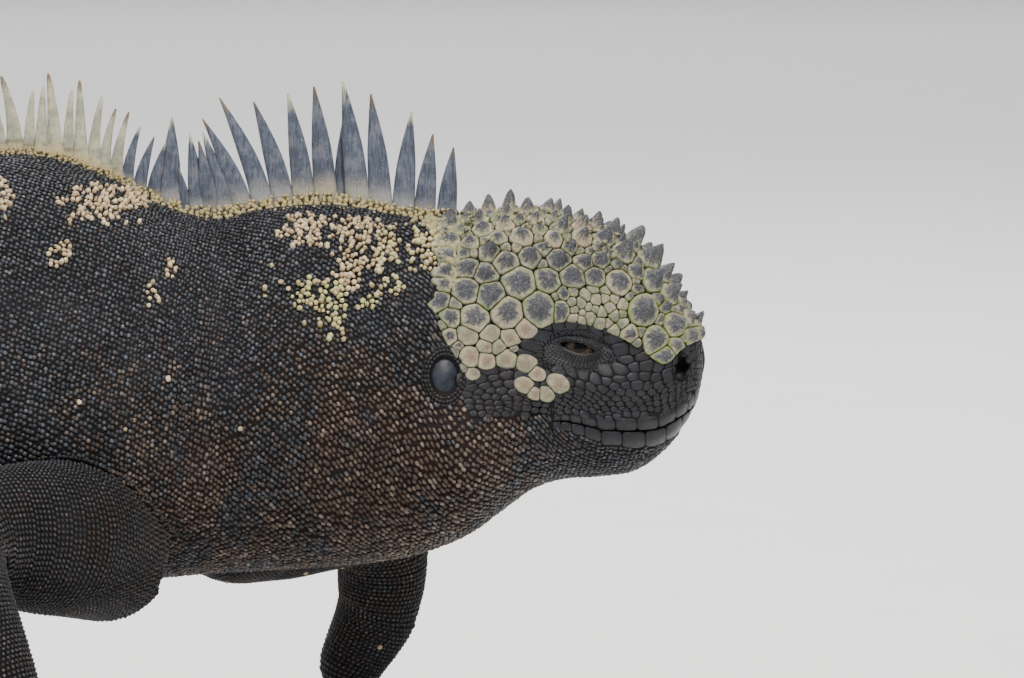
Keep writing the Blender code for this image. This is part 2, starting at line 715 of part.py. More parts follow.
# The limbs' joints as station, distance from the midline and height; the side sets the sign.
LIMBS = {
    "right_fore": {
        "side": -1,
        "path": ((166, 24, 74), (178, 54, 77.5), (201, 84, 77), (190, 98, 45), (172, 104, 15), (161, 107, 8)),
        "radii": RIGHT_FORE_RADII,
        "parts": ("upper_arm_right", "forearm_right"),
        "split": 0.47,
        "foot": "hand_right",
        "toes": "hand",
        "heading": -22.0,
    },
    "left_fore": {
        "side": 1,
        "path": ((148, 22, 76), (122, 46, 72), (93, 62, 66), (92, 68, 44), (101, 73, 15), (92, 76, 8)),
        "radii": LEFT_FORE_RADII,
        "parts": ("upper_arm_left", "forearm_left"),
        "split": 0.5,
        "foot": "hand_left",
        "toes": "hand",
        "heading": 14.0,
    },
    "right_hind": {
        "side": -1,
        "path": ((426, 22, 46), (404, 62, 50), (378, 102, 47), (404, 116, 28), (432, 124, 13), (427, 128, 8)),
        "radii": HIND_RADII,
        "parts": ("thigh_right", "shank_right"),
        "split": 0.5,
        "foot": "foot_right",
        "toes": "foot",
        "heading": -34.0,
    },
    "left_hind": {
        "side": 1,
        "path": ((430, 22, 44), (424, 64, 47), (412, 104, 44), (440, 116, 27), (470, 121, 13), (465, 126, 8)),
        "radii": HIND_RADII,
        "parts": ("thigh_left", "shank_left"),
        "split": 0.5,
        "foot": "foot_left",
        "toes": "foot",
        "heading": 40.0,
    },
}
PATH_POINTS = 120
# The cut round a leg's root stands a little over the gap clear of the trunk's facets.
ROOT_CLEAR = GAP * 1.3
# Each toe: how far it turns from the foot's heading towards the body's outside, its length
# and its root's place along the palm.
TOES = {
    "hand": ((-46, 13, 0.2), (-22, 20, 0.5), (0, 25, 0.7), (22, 25, 0.6), (52, 17, 0.25)),
    "foot": ((-40, 15, 0.3), (-20, 25, 0.5), (-4, 37, 0.7), (12, 50, 0.7), (44, 27, 0.1)),
}
PALM_LENGTH = {"hand": 15.0, "foot": 24.0}
PALM_HALF_WIDTH = {"hand": 11.0, "foot": 11.5}
PALM_HEIGHTS = (6.5, 6.0, 4.6)
# Along the palm: share of the length, half width over the palm's, and half height.
PALM_PROFILE = ((0, 0.72, 6.8), (0.5, 1.0, 6.4), (1, 0.9, 4.4))
TOE_SPREAD = 0.33
TOE_ROOT = 0.75
TOE_RADIUS = {"hand": 3.7, "foot": 3.9}
CLAW_LENGTH = {"hand": 11.0, "foot": 12.0}
# Along a toe and along a claw: share of the length, half width and half height over the toe's radius.
TOE_PROFILE = ((0, 1.0, 1.0), (0.4, 1.05, 1.0), (0.8, 0.85, 0.85), (1, 0.7, 0.8))
CLAW_PROFILE = ((0, 0.55, 0.7), (0.4, 0.42, 0.5), (0.8, 0.15, 0.18), (1, 0.06, 0.07))
# The toe's run: share of its length and height over its radius. The claw's run: share of its
# length, rise over its length, and drop as a share of the way down to the floor.
TOE_RUN = ((0.0, 1.2), (0.4, 1.55), (0.75, 1.2), (1.0, 0.95))
CLAW_RUN = ((0.0, 0.0, 0.0), (0.35, 0.06, 0.0), (0.72, 0.0, 0.25), (0.95, 0.0, 1.0))
CLAW_TIP_HEIGHT = 0.6
LIMB_SIDES = 12
LIMB_RINGS = 14
TOE_SIDES = 6
CLAW_SIDES = 5


def floor_direction(angle):
    """A level direction, turned by an angle in degrees from straight ahead."""
    a = math.radians(angle)
    return np.array([math.cos(a), math.sin(a), 0.0])


def limb_point(side, station, out, height):
    """A place in the model's frame from a limb's own numbers."""
    return np.array([SNOUT_X - station, SNOUT_Y + side * out, height])


def build_toe(start, angle, length, radius, claw, name, finish):
    """One toe as a closed tube that lies on the floor, and its curved claw a gap ahead of its tip."""
    way = floor_direction(angle)
    up = np.array([0.0, 0.0, 1.0])
    points = [start * (1, 1, 0) + way * length * u + up * radius * high for u, high in TOE_RUN]
    radii = [(u, radius * wide, radius * tall) for u, wide, tall in TOE_PROFILE]
    rings = tube_rings(smooth_path(points, 4), table_radius(radii), TOE_SIDES)
    rings[-1] = tube_ring(points[-1], way, radii[-1][1:], TOE_SIDES, up)
    toe = loft("toe", rings)
    tip = points[-1] + way * GAP
    drop = tip[2] - CLAW_TIP_HEIGHT
    arc = [tip + way * claw * u + up * (claw * rise - drop * fall) for u, rise, fall in CLAW_RUN]
    claw_radii = [(u, radius * wide, radius * tall) for u, wide, tall in CLAW_PROFILE]
    rings = tube_rings(smooth_path(arc, 4), table_radius(claw_radii), CLAW_SIDES)
    rings[0] = tube_ring(tip, way, claw_radii[0][1:], CLAW_SIDES, up)
    loft(name, rings, finish["claw"])
    return toe


def build_limb(limb, finish):
    """One leg: its two lengths, its hand or foot with the toes fused on, and the claws."""
    side = limb["side"]
    path = smooth_path([limb_point(side, *p) for p in limb["path"]], LIMB_RINGS)
    rings = tube_rings(path, table_radius(limb["radii"]), LIMB_SIDES)
    split = round(limb["split"] * (LIMB_RINGS - 1))
    wrist = LIMB_RINGS - 3
    upper_name, lower_name = limb["parts"]
    run = np.gradient(path, axis=0)
    run /= np.linalg.norm(run, axis=1)[:, None]

    def shifted(index, amount):
        moved = np.array(rings[index]) + run[index] * amount
        moved[:, 2] = np.maximum(moved[:, 2], 0.0)
        return moved

    upper = loft(upper_name, rings[:split] + [shifted(split, -GAP / 2)], finish["skin"])
    lower = [shifted(split, GAP / 2)] + rings[split + 1 : wrist] + [shifted(wrist, -GAP / 2)]
    loft(lower_name, lower, finish["skin"])
    for cutter in trunk_cutters():
        combine(upper, [cutter], "DIFFERENCE")

    kind = limb["toes"]
    angle = limb["heading"]
    way = floor_direction(angle)
    left = floor_direction(angle + 90.0)
    heel = path[-1]
    half = PALM_HALF_WIDTH[kind]
    palm_path = [heel, heel + way * PALM_LENGTH[kind] * 0.5, heel + way * PALM_LENGTH[kind]]
    for point, level in zip(palm_path, PALM_HEIGHTS):
        point[2] = level
    palm_radii = [(u, half * wide, tall) for u, wide, tall in PALM_PROFILE]
    palm_rings = tube_rings(smooth_path(palm_path, 4), table_radius(palm_radii), LIMB_SIDES)
    foot = loft(limb["foot"], [shifted(wrist, GAP / 2), rings[wrist + 1]] + palm_rings, finish["skin"])
    pieces = []
    for number, (turn, length, place) in enumerate(TOES[kind], start=1):
        spread = (number - 3) * TOE_SPREAD * half
        start = heel + way * PALM_LENGTH[kind] * place + left * side * spread
        name = f"claw_{limb['foot']}_{number}"
        toe_angle = angle + side * turn
        reach = length + PALM_LENGTH[kind] * (TOE_ROOT - place)
        toe = build_toe(start, toe_angle, reach, TOE_RADIUS[kind], CLAW_LENGTH[kind], name, finish)
        pieces.append(toe)
    combine(foot, pieces, "UNION")


def main():
    clear_scene()
    chance = random.Random(SEED)
    finish = {
        "skin": make_material("skin", SKIN, 0.55),
        "eye": make_material("eye", IRIS, 0.1),
        "claw": make_material("claw", CLAW, 0.35),
    }
    build_head(finish, chance)
    build_trunk_and_tail(finish, chance)
    for limb in LIMBS.values():
        build_limb(limb, finish)


main()
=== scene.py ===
"""A life-size marine iguana, dressed with scales, shields, spines and claws, on a pale floor.

Sizes are in millimetres; a station is a distance in millimetres behind the tip of the snout, and a
share is a part of the way round the body from the middle of the back, first down the left side.
"""

import json
import math

import bpy
import numpy as np
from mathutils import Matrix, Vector
from mathutils.bvhtree import BVHTree
from mathutils.kdtree import KDTree

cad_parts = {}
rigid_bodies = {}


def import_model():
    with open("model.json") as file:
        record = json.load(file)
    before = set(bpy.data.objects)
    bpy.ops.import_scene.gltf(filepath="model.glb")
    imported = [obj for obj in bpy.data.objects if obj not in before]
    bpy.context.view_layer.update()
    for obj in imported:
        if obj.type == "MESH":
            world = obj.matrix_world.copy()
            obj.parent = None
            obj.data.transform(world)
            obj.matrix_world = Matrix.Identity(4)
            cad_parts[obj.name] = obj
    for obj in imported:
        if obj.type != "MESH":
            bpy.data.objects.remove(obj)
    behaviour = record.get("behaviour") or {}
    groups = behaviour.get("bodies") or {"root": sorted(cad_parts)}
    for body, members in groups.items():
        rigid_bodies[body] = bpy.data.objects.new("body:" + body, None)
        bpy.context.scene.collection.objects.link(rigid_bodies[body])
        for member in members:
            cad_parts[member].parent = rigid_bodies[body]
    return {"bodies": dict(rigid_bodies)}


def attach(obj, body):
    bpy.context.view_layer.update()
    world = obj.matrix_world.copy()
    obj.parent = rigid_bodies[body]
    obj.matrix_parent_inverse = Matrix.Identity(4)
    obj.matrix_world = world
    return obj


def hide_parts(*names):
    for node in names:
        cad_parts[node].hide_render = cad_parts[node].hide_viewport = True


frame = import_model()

bl_info = {
    "name": "Marine iguana",
    "version": (1, 0, 0),
    "blender": (4, 5, 0),
    "location": "3D View > Sidebar > Iguana",
    "description": "Models the skin, scales, shields, spines, eyes and claws of a marine iguana",
    "category": "Add Mesh",
}

MM = 0.001
TAU = 2 * math.pi
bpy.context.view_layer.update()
BODY_NAME = next(iter(frame["bodies"]))
RIGHT = -1
LEFT = 1

SNOUT_X = 506.0
SNOUT_Y = -1.0
SNOUT_TO_VENT = 450.0
TAIL_TIP = 1050.0
TAIL_BEND_FROM = 455.0
TAIL_SWING = math.radians(38.0)
TAIL_WAVES = 0.85

# The skin lies this far inside the solids, and the scales stand on it.
SKIN_DEPTH = 0.45
# The body is read from a grid of this many points round each outline, at stations this far apart.
ROUND = 720
GRID_PLAN = ((0.2, 90.0, 0.4), (90.0, 150.0, 1.0), (150.0, 470.0, 2.0), (470.0, TAIL_TIP, 4.0))
CAP_STATION = 0.2
CAP_STEPS = 8
CAP_BULGE = 0.9

# Station, height of the back, height of the underside, half width, height of the widest line,
# and how square the outline is above and below that line (2 is an ellipse).
BODY = (
    (0.2, 126.5, 115.0, 6.0, 120.5, 2.2, 2.2),
    (1.4, 130.0, 109.5, 9.5, 118.5, 2.3, 2.2),
    (3.4, 133.0, 105.2, 12.2, 116.0, 2.4, 2.2),
    (6.2, 137.5, 100.6, 14.4, 114.0, 2.5, 2.2),
    (10.4, 143.5, 95.6, 16.6, 112.0, 2.5, 2.2),
    (17.4, 150.9, 90.2, 19.0, 110.5, 2.5, 2.2),
    (28.6, 157.0, 87.9, 21.8, 110.0, 2.5, 2.2),
    (39.8, 160.8, 87.2, 25.5, 109.0, 2.4, 2.2),
    (48.0, 162.2, 84.6, 29.0, 107.0, 2.3, 2.2),
    (56.6, 162.0, 78.4, 32.8, 104.5, 2.15, 2.2),
    (65.0, 160.8, 72.3, 35.8, 103.0, 2.05, 2.2),
    (76.2, 160.6, 67.4, 37.4, 103.5, 1.95, 2.2),
    (87.4, 162.6, 64.6, 37.4, 105.0, 1.85, 2.2),
    (101.4, 164.9, 63.0, 37.0, 107.0, 1.8, 2.2),
    (112.6, 164.9, 62.2, 37.4, 108.0, 1.8, 2.2),
    (123.8, 163.6, 61.6, 38.8, 108.0, 1.8, 2.2),
    (136.0, 161.4, 60.8, 41.0, 107.0, 1.8, 2.2),
    (150.4, 164.6, 59.6, 44.0, 106.0, 1.85, 2.2),
    (165.8, 172.4, 58.0, 47.0, 105.0, 1.9, 2.2),
    (182.6, 178.0, 55.4, 50.0, 102.0, 1.95, 2.2),
    (200.0, 178.6, 51.4, 53.0, 99.0, 2.0, 2.2),
    (240.0, 171.5, 39.5, 60.0, 87.0, 2.05, 2.25),
    (290.0, 155.5, 21.5, 66.0, 71.0, 2.1, 2.3),
    (340.0, 135.0, 4.5, 67.0, 55.0, 2.1, 2.4),
    (385.0, 115.0, -2.0, 61.0, 44.0, 2.1, 2.4),
    (420.0, 99.0, -2.5, 50.0, 39.0, 2.1, 2.4),
    (450.0, 84.0, -2.5, 39.0, 34.0, 2.0, 2.3),
    (480.0, 71.5, -2.0, 30.0, 30.0, 2.0, 2.2),
    (520.0, 62.0, -1.8, 22.5, 26.0, 1.95, 2.1),
    (580.0, 55.5, -1.5, 17.0, 23.0, 1.9, 2.1),
    (660.0, 49.0, -1.3, 13.6, 20.0, 1.9, 2.1),
    (760.0, 41.0, -1.1, 10.6, 17.0, 1.9, 2.1),
    (860.0, 31.5, -0.9, 7.9, 13.5, 1.9, 2.1),
    (950.0, 22.0, -0.7, 5.4, 9.5, 1.9, 2.1),
    (1010.0, 13.5, -0.5, 3.5, 6.0, 1.9, 2.1),
    (1042.0, 7.0, -0.3, 1.9, 3.2, 1.9, 2.1),
    (1050.0, 4.2, -0.2, 1.1, 1.9, 1.9, 2.1),
)

# Soft swellings and hollows on both sides: station, height, half length, half height, move outwards.
SWELLINGS = (
    (33.0, 138.4, 15.0, 5.0, 2.4),
    (33.5, 125.6, 13.5, 6.5, -2.4),
    (35.0, 125.2, 6.4, 5.2, 0.6),
    (33.0, 115.0, 17.0, 4.5, 1.2),
    (8.5, 130.0, 6.0, 6.0, 1.3),
    (57.0, 122.5, 8.0, 9.0, -1.6),
    (66.0, 97.0, 17.0, 16.0, 4.2),
    (71.6, 119.6, 7.5, 8.0, 1.4),
    (134.0, 134.0, 6.0, 34.0, -2.6),
    (172.0, 108.0, 22.0, 30.0, 3.0),
)
SWELLING_FADE = 6.0
SWELLING_RISE_SHARE = 0.3

# The line of the mouth: stations and heights from the front of the snout to its corner.
MOUTH_STATIONS = (-6.0, 1.4, 4.8, 8.7, 12.9, 19.3, 28.0, 32.2, 38.4, 42.0)
MOUTH_HEIGHTS = (110.5, 109.0, 106.9, 104.5, 102.7, 102.4, 102.9, 104.3, 105.9, 106.1)
MOUTH_CORNER = 42.0
MOUTH_DEPTH = 1.3
MOUTH_HALF_WIDTH = 0.55
LIP_OFFSET = 2.6
LIP_HALF_HEIGHT = 1.8
LIP_SWELL = 0.9

EYE_STATION = 35.2
EYE_HEIGHT = 125.2
EYE_SIDE = 16.6
EYE_RADIUS = 6.6
EAR_STATION = 71.6
EAR_HEIGHT = 119.6
EAR_HALF_LENGTH = 3.6
EAR_HALF_HEIGHT = 4.7
NOSTRIL_STATION = 6.2
NOSTRIL_HEIGHT = 120.0

# Pits in the skin: station, height, half length, half height, depth and height of the rim round it.
PITS = (
    (NOSTRIL_STATION, NOSTRIL_HEIGHT, 2.0, 2.9, 3.4, 0.7),
    (EAR_STATION, EAR_HEIGHT, EAR_HALF_LENGTH + 0.5, EAR_HALF_HEIGHT + 0.5, 2.2, 1.0),
    (EYE_STATION, EYE_HEIGHT, 9.0, 4.2, 3.5, 0.0),
)
# Creases: station and height of both ends, depth and half width.
CREASES = (
    (96.0, 78.0, 84.0, 108.0, 0.9, 2.0),
    (104.0, 74.0, 95.0, 100.0, 0.7, 2.0),
    (140.0, 96.0, 146.0, 132.0, 1.2, 2.6),
    (132.0, 84.0, 136.0, 118.0, 0.9, 2.4),
    (150.0, 88.0, 158.0, 128.0, 0.8, 2.6),
    (222.0, 60.0, 226.0, 110.0, 0.7, 3.0),
    (360.0, 70.0, 352.0, 96.0, 0.8, 3.5),
    (49.5, 104.0, 45.0, 109.5, 0.8, 1.6),
    (53.0, 100.0, 48.0, 110.0, 0.6, 1.6),
)

# A leg's path as station, distance from the midline and height, and its radii at shares of its length.
LEGS = {
    "right_fore": {
        "side": RIGHT,
        "path": ((166, 24, 74), (178, 54, 77.5), (201, 84, 77), (190, 98, 45), (172, 104, 15), (161, 107, 8)),
        "radii": ((0, 23, 24), (0.25, 18, 21), (0.48, 14, 15), (0.62, 12.5, 13), (0.85, 8.5, 8.5), (1, 8.5, 6)),
        "toes": "hand",
        "heading": -22.0,
    },
    "left_fore": {
        "side": LEFT,
        "path": ((148, 22, 76), (122, 46, 72), (93, 62, 66), (92, 68, 44), (101, 73, 15), (92, 76, 8)),
        "radii": ((0, 22, 24), (0.28, 17, 19.5), (0.5, 14.5, 15), (0.64, 13, 13.5), (0.87, 8.5, 9), (1, 8.5, 6)),
        "toes": "hand",
        "heading": 14.0,
    },
    "right_hind": {
        "side": RIGHT,
        "path": ((426, 22, 46), (404, 62, 50), (378, 102, 47), (404, 116, 28), (432, 124, 13), (427, 128, 8)),
        "radii": ((0, 27, 27), (0.25, 23.5, 25), (0.48, 17, 18), (0.62, 15, 15.5), (0.86, 9, 9), (1, 9, 6)),
        "toes": "foot",
        "heading": -34.0,
    },
    "left_hind": {
        "side": LEFT,
        "path": ((430, 22, 44), (424, 64, 47), (412, 104, 44), (440, 116, 27), (470, 121, 13), (465, 126, 8)),
        "radii": ((0, 27, 27), (0.25, 23.5, 25), (0.48, 17, 18), (0.62, 15, 15.5), (0.86, 9, 9), (1, 9, 6)),
        "toes": "foot",
        "heading": 40.0,
    },
}
# Each toe: how far it turns from the foot's heading, its length and its root's place along the palm.
TOES = {
    "hand": ((-46, 13, 0.2), (-22, 20, 0.5), (0, 25, 0.7), (22, 25, 0.6), (52, 17, 0.25)),
    "foot": ((-40, 15, 0.3), (-20, 25, 0.5), (-4, 37, 0.7), (12, 50, 0.7), (44, 27, 0.1)),
}
PALM_LENGTH = {"hand": 15.0, "foot": 24.0}
PALM_HALF_WIDTH = {"hand": 11.0, "foot": 11.5}
PALM_HEIGHTS = (6.5, 6.0, 4.6)
PALM_PROFILE = ((0, 0.72, 6.8), (0.5, 1.0, 6.4), (1, 0.9, 4.4))
TOE_SPREAD = 0.33
TOE_ROOT = 0.75
TOE_RADIUS = {"hand": 3.7, "foot": 3.9}
TOE_RUN = ((0.0, 1.2), (0.4, 1.55), (0.75, 1.2), (1.0, 0.95))
TOE_PROFILE = ((0, 1.0, 1.0), (0.4, 1.05, 1.0), (0.8, 0.85, 0.85), (1, 0.7, 0.8))
CLAW_LENGTH = {"hand": 11.0, "foot": 12.0}
CLAW_RUN = ((0.0, 0.0, 0.0), (0.35, 0.06, 0.0), (0.72, 0.0, 0.25), (0.95, 0.0, 1.0))
CLAW_PROFILE = ((0, 0.55, 0.7), (0.4, 0.42, 0.5), (0.8, 0.15, 0.18), (1, 0.06, 0.07))
CLAW_TIP_HEIGHT = 0.6

# The skin's rings: from and to which station, the distance between rings, and points round them.
RING_PLAN = (
    (CAP_STATION, 84.0, 0.85, 264),
    (84.0, 150.0, 1.6, 208),
    (150.0, 470.0, 2.9, 144),
    (470.0, 700.0, 3.8, 88),
    (700.0, TAIL_TIP, 5.0, 48),
)
LEG_RINGS = 46
LEG_SIDES = 36
TOE_RINGS = 16
TOE_SIDES = 14
ROOT_BLEND = 10.0

# By station: the width of a scale on the underside and on the back, the slope of the rows,
# and the step along a row in widths.
SCALE_WIDTHS = (
    (0.0, 1.30, 1.10, 0.15, 1.10),
    (30.0, 1.40, 1.10, 0.40, 1.12),
    (50.0, 1.60, 1.12, 1.05, 1.30),
    (70.0, 1.70, 1.08, 1.35, 1.46),
    (100.0, 1.60, 1.02, 1.40, 1.42),
    (135.0, 1.50, 1.02, 1.20, 1.30),
    (170.0, 1.52, 1.12, 0.90, 1.20),
    (200.0, 1.62, 1.25, 0.74, 1.16),
    (240.0, 1.95, 1.55, 0.66, 1.16),
    (340.0, 2.30, 2.00, 0.50, 1.16),
    (470.0, 2.30, 2.10, 0.35, 1.16),
)
# In widths: the step from row to row, and how far a scale strays.
ROW_PITCH = 0.92
STRAY = 0.2
# How far each row starts behind the one under it, in steps, and how far the rows wander.
ROW_SHIFT = 0.67
ROW_WANDER = 0.5

# The crest's spines that the view shows: station, height, how far the tip leans back, length of the root.
SHOWN_SPINES = (
    (71.7, 17.6, -2.2, 5.2),
    (77.8, 20.6, -2.5, 5.6),
    (83.7, 25.4, -2.5, 5.8),
    (89.8, 28.8, 2.8, 6.0),
    (96.2, 31.2, 4.2, 6.2),
    (100.6, 21.5, -0.3, 4.6),
    (105.2, 29.2, 3.2, 6.0),
    (111.2, 27.6, 4.5, 5.8),
    (116.9, 25.8, 8.4, 5.8),
    (122.4, 27.6, 12.4, 5.6),
    (127.9, 23.2, 11.6, 5.4),
    (133.0, 21.0, 6.6, 5.0),
    (137.2, 19.0, 3.4, 4.8),
    (140.8, 20.6, 2.4, 4.6),
    (144.2, 11.0, 2.0, 3.4),
    (148.7, 23.0, -0.6, 5.6),
    (153.8, 14.6, -3.9, 3.8),
    (157.6, 14.2, -4.5, 3.8),
    (161.0, 15.4, -4.0, 3.6),
    (164.0, 17.6, -3.9, 3.8),
    (167.2, 17.2, -3.4, 3.8),
    (170.2, 19.6, -2.6, 4.2),
    (173.6, 22.4, 0.2, 4.2),
    (177.2, 19.0, -1.2, 3.8),
    (180.8, 22.2, 1.7, 4.6),
    (184.6, 18.4, -0.8, 4.0),
    (188.0, 16.8, -1.1, 3.8),
    (191.8, 20.4, 3.9, 4.8),
    (196.4, 19.4, 3.6, 4.6),
)
# The rest of the crest: station, height of the spines, distance between them, lean back in millimetres.
CREST = (
    (200.4, 19.0, 4.6, 2.6),
    (240.0, 16.5, 4.8, 5.0),
    (300.0, 14.0, 5.4, 6.2),
    (360.0, 12.0, 5.8, 6.4),
    (450.0, 9.5, 6.0, 5.2),
    (520.0, 8.5, 6.2, 3.4),
    (700.0, 7.0, 6.2, 2.4),
    (900.0, 5.0, 5.6, 2.0),
    (1046.0, 2.5, 4.8, 1.4),
)

# Shields of the crown's flank, which the view shows: station, height, radius, height of the cone.
FLANK_SHIELDS = (
    (65.8, 142.2, 4.0, 2.0),
    (59.1, 140.8, 4.2, 2.0),
    (63.6, 134.6, 4.0, 1.6),
    (54.6, 136.2, 4.6, 2.0),
    (45.9, 137.1, 4.8, 2.4),
    (40.0, 136.6, 2.6, 1.4),
    (65.5, 147.6, 3.4, 2.6),
    (60.8, 146.2, 3.4, 2.8),
    (54.9, 149.3, 3.6, 3.4),
    (51.2, 143.9, 4.8, 2.4),
    (43.7, 144.4, 3.8, 2.4),
    (36.7, 145.2, 3.6, 2.4),
    (30.4, 145.0, 3.1, 2.2),
    (23.8, 143.4, 3.9, 2.6),
    (17.0, 135.8, 4.5, 3.4),
    (13.6, 128.0, 3.5, 2.4),
    (8.2, 131.6, 3.5, 2.8),
    (3.8, 127.9, 2.6, 1.6),
    (10.9, 123.2, 2.5, 1.0),
    (9.8, 139.5, 3.4, 3.4),
    (14.2, 143.4, 3.4, 3.6),
    (16.6, 149.0, 3.0, 3.4),
    (22.4, 150.8, 3.3, 3.4),
    (29.0, 149.4, 2.7, 2.8),
    (33.4, 148.9, 2.6, 2.8),
    (40.4, 149.6, 3.2, 3.0),
    (48.4, 150.6, 3.0, 3.2),
    (59.4, 151.8, 2.9, 3.4),
    (34.0, 155.0, 2.8, 3.0),
    (27.8, 154.6, 2.9, 3.2),
    (2.4, 132.0, 2.7, 2.4),
)
# Cones along the middle of the crown: station, radius, height of the cone.
RIDGE_CONES = (
    (65.0, 2.4, 2.6),
    (59.6, 2.9, 4.6),
    (54.2, 2.9, 4.0),
    (49.0, 2.9, 2.8),
    (43.8, 2.9, 3.0),
    (38.6, 2.3, 2.2),
    (35.2, 2.3, 2.4),
    (30.4, 2.4, 3.2),
    (25.8, 2.9, 4.0),
    (20.6, 3.3, 4.8),
    (14.6, 3.4, 4.2),
    (9.4, 3.1, 2.8),
    (5.0, 2.4, 1.0),
)
# Pale plates of the temple and cheek: station, height, radius.
TEMPLE_PLATES = (
    (65.5, 130.3, 2.9),
    (59.4, 130.4, 2.7),
    (53.9, 129.4, 2.6),
    (49.8, 131.8, 2.8),
    (65.0, 124.4, 3.0),
    (60.6, 127.0, 2.2),
    (57.1, 126.9, 2.2),
    (60.6, 123.2, 2.5),
    (64.2, 119.8, 1.8),
    (54.9, 123.5, 2.7),
    (49.3, 122.0, 2.6),
    (49.8, 116.3, 2.3),
    (40.7, 116.5, 2.6),
    (44.0, 113.7, 2.1),
    (47.2, 114.0, 1.8),
    (46.6, 119.2, 2.1),
)
TEMPLE_LENGTH = 1.42
TEMPLE_WIDTH = 1.05
# The crown's lower edge: height at a few stations.
CROWN_EDGE = (
    (0.0, 127.6),
    (6.0, 125.4),
    (11.0, 121.4),
    (16.0, 124.2),
    (22.0, 128.2),
    (30.0, 131.6),
    (40.0, 133.6),
    (46.0, 131.4),
    (51.0, 126.6),
    (56.0, 124.6),
    (62.0, 121.5),
    (66.0, 119.0),
    (68.5, 124.0),
    (72.0, 130.0),
    (75.0, 137.0),
)
CROWN_END = 73.5
SHIELD_RADII = (2.3, 3.3)
SMALLEST_SHIELD = 0.8
GRANULE_RADII = (0.95, 1.45)
# The patch of granules above the eye: middle station and height, half length and half height.
GRANULE_PATCH = (29.6, 134.4, 9.4, 7.4)

# Crusts of salt: side, station, height, half length, half height, and how green they are.
SALT_PATCHES = (
    (RIGHT, 110.3, 158.3, 5.9, 4.7, 0.0),
    (RIGHT, 96.8, 159.2, 7.2, 5.4, 0.05),
    (RIGHT, 97.2, 148.4, 6.0, 6.3, 0.1),
    (RIGHT, 88.2, 153.6, 4.0, 5.6, 0.45),
    (RIGHT, 76.6, 153.6, 6.0, 6.0, 0.4),
    (RIGHT, 102.5, 137.2, 3.4, 7.3, 0.8),
    (RIGHT, 93.8, 138.2, 2.7, 2.2, 0.8),
    (RIGHT, 86.5, 143.6, 2.9, 2.8, 0.6),
    (RIGHT, 109.6, 140.4, 3.2, 4.6, 0.55),
    (RIGHT, 121.0, 141.6, 1.4, 1.5, 0.5),
    (RIGHT, 71.0, 140.4, 1.7, 9.4, 0.6),
    (RIGHT, 166.5, 164.6, 8.6, 4.8, 0.0),
    (RIGHT, 158.6, 167.2, 4.8, 3.6, 0.0),
    (RIGHT, 177.2, 152.6, 3.0, 2.8, 0.0),
    (RIGHT, 193.8, 167.4, 3.6, 5.0, 0.0),
    (RIGHT, 146.7, 148.2, 1.6, 1.8, 0.1),
    (RIGHT, 151.8, 142.6, 1.8, 3.4, 0.1),
    (RIGHT, 232.0, 150.0, 9.0, 6.0, 0.0),
    (RIGHT, 268.0, 138.0, 6.0, 5.0, 0.1),
    (RIGHT, 330.0, 112.0, 7.0, 5.0, 0.0),
    (LEFT, 104.0, 157.6, 8.2, 5.6, 0.1),
    (LEFT, 88.0, 151.6, 6.2, 7.4, 0.4),
    (LEFT, 112.0, 140.0, 3.4, 5.2, 0.5),
    (LEFT, 71.0, 142.4, 1.7, 8.4, 0.6),
    (LEFT, 154.0, 160.0, 8.5, 5.8, 0.0),
    (LEFT, 186.0, 158.0, 6.5, 8.0, 0.0),
    (LEFT, 250.0, 140.0, 8.0, 7.0, 0.0),
    (LEFT, 312.0, 124.0, 6.0, 5.0, 0.1),
)
SALT_SPRINKLE = 0.0016

CAMERA_DISTANCE = 1600.0
CAMERA_ELEVATION = math.radians(5.0)
CAMERA_TARGET = (SNOUT_X - 53.2, SNOUT_Y, 126.5)
VIEW_WIDTH = 286.7
SENSOR_WIDTH = 36.0


def smooth_step(low, high, value):
    """Rises smoothly from 0 to 1 while the value goes from low to high."""
    u = np.clip((np.asarray(value, float) - low) / (high - low), 0.0, 1.0)
    return u * u * (3.0 - 2.0 * u)


def read_rows(table, at):
    """Reads a table of rows at many places at once, along smooth curves through its rows."""
    rows = np.array(table, float)
    keys, values = rows[:, 0], rows[:, 1:]
    slopes = np.gradient(values, keys, axis=0)
    at = np.clip(np.asarray(at, float), keys[0], keys[-1])
    i = np.clip(np.searchsorted(keys, at, side="right") - 1, 0, len(keys) - 2)
    span = (keys[i + 1] - keys[i])[..., None]
    u = (at - keys[i])[..., None] / span
    stay = (1 + 2 * u) * (1 - u) ** 2
    leave = u * (1 - u) ** 2
    reach = u * u * (3 - 2 * u)
    arrive = u * u * (u - 1)
    start = stay * values[i] + leave * span * slopes[i]
    return start + reach * values[i + 1] + arrive * span * slopes[i + 1]


def ripple(points, size, seed):
    """A smooth wandering value between about -1 and 1 over space, in patches of about the given size."""
    chance = np.random.default_rng(seed)
    waves = 14
    ways = chance.normal(size=(waves, 3))
    ways /= np.linalg.norm(ways, axis=1, keepdims=True)
    lengths = size * chance.uniform(1.2, 3.2, waves)
    phases = chance.uniform(0.0, TAU, waves)
    sums = np.sin(points @ (ways * (TAU / lengths)[:, None]).T + phases).sum(axis=1)
    return sums / math.sqrt(waves * 0.5) * 0.6


def backbone_table(step=2.0):
    """Stations, places and headings along the backbone, seen from above."""
    stations = np.arange(0.0, TAIL_TIP + step, step)
    u = np.clip((stations[:-1] + step / 2 - TAIL_BEND_FROM) / (TAIL_TIP - TAIL_BEND_FROM), 0.0, None)
    turns = TAIL_SWING * np.sin(TAU * TAIL_WAVES * u) * np.sqrt(u)
    x = SNOUT_X - np.concatenate([[0.0], np.cumsum(np.cos(turns) * step)])
    y = SNOUT_Y + np.concatenate([[0.0], np.cumsum(np.sin(turns) * step)])
    return stations, x, y


BACKBONE = backbone_table()


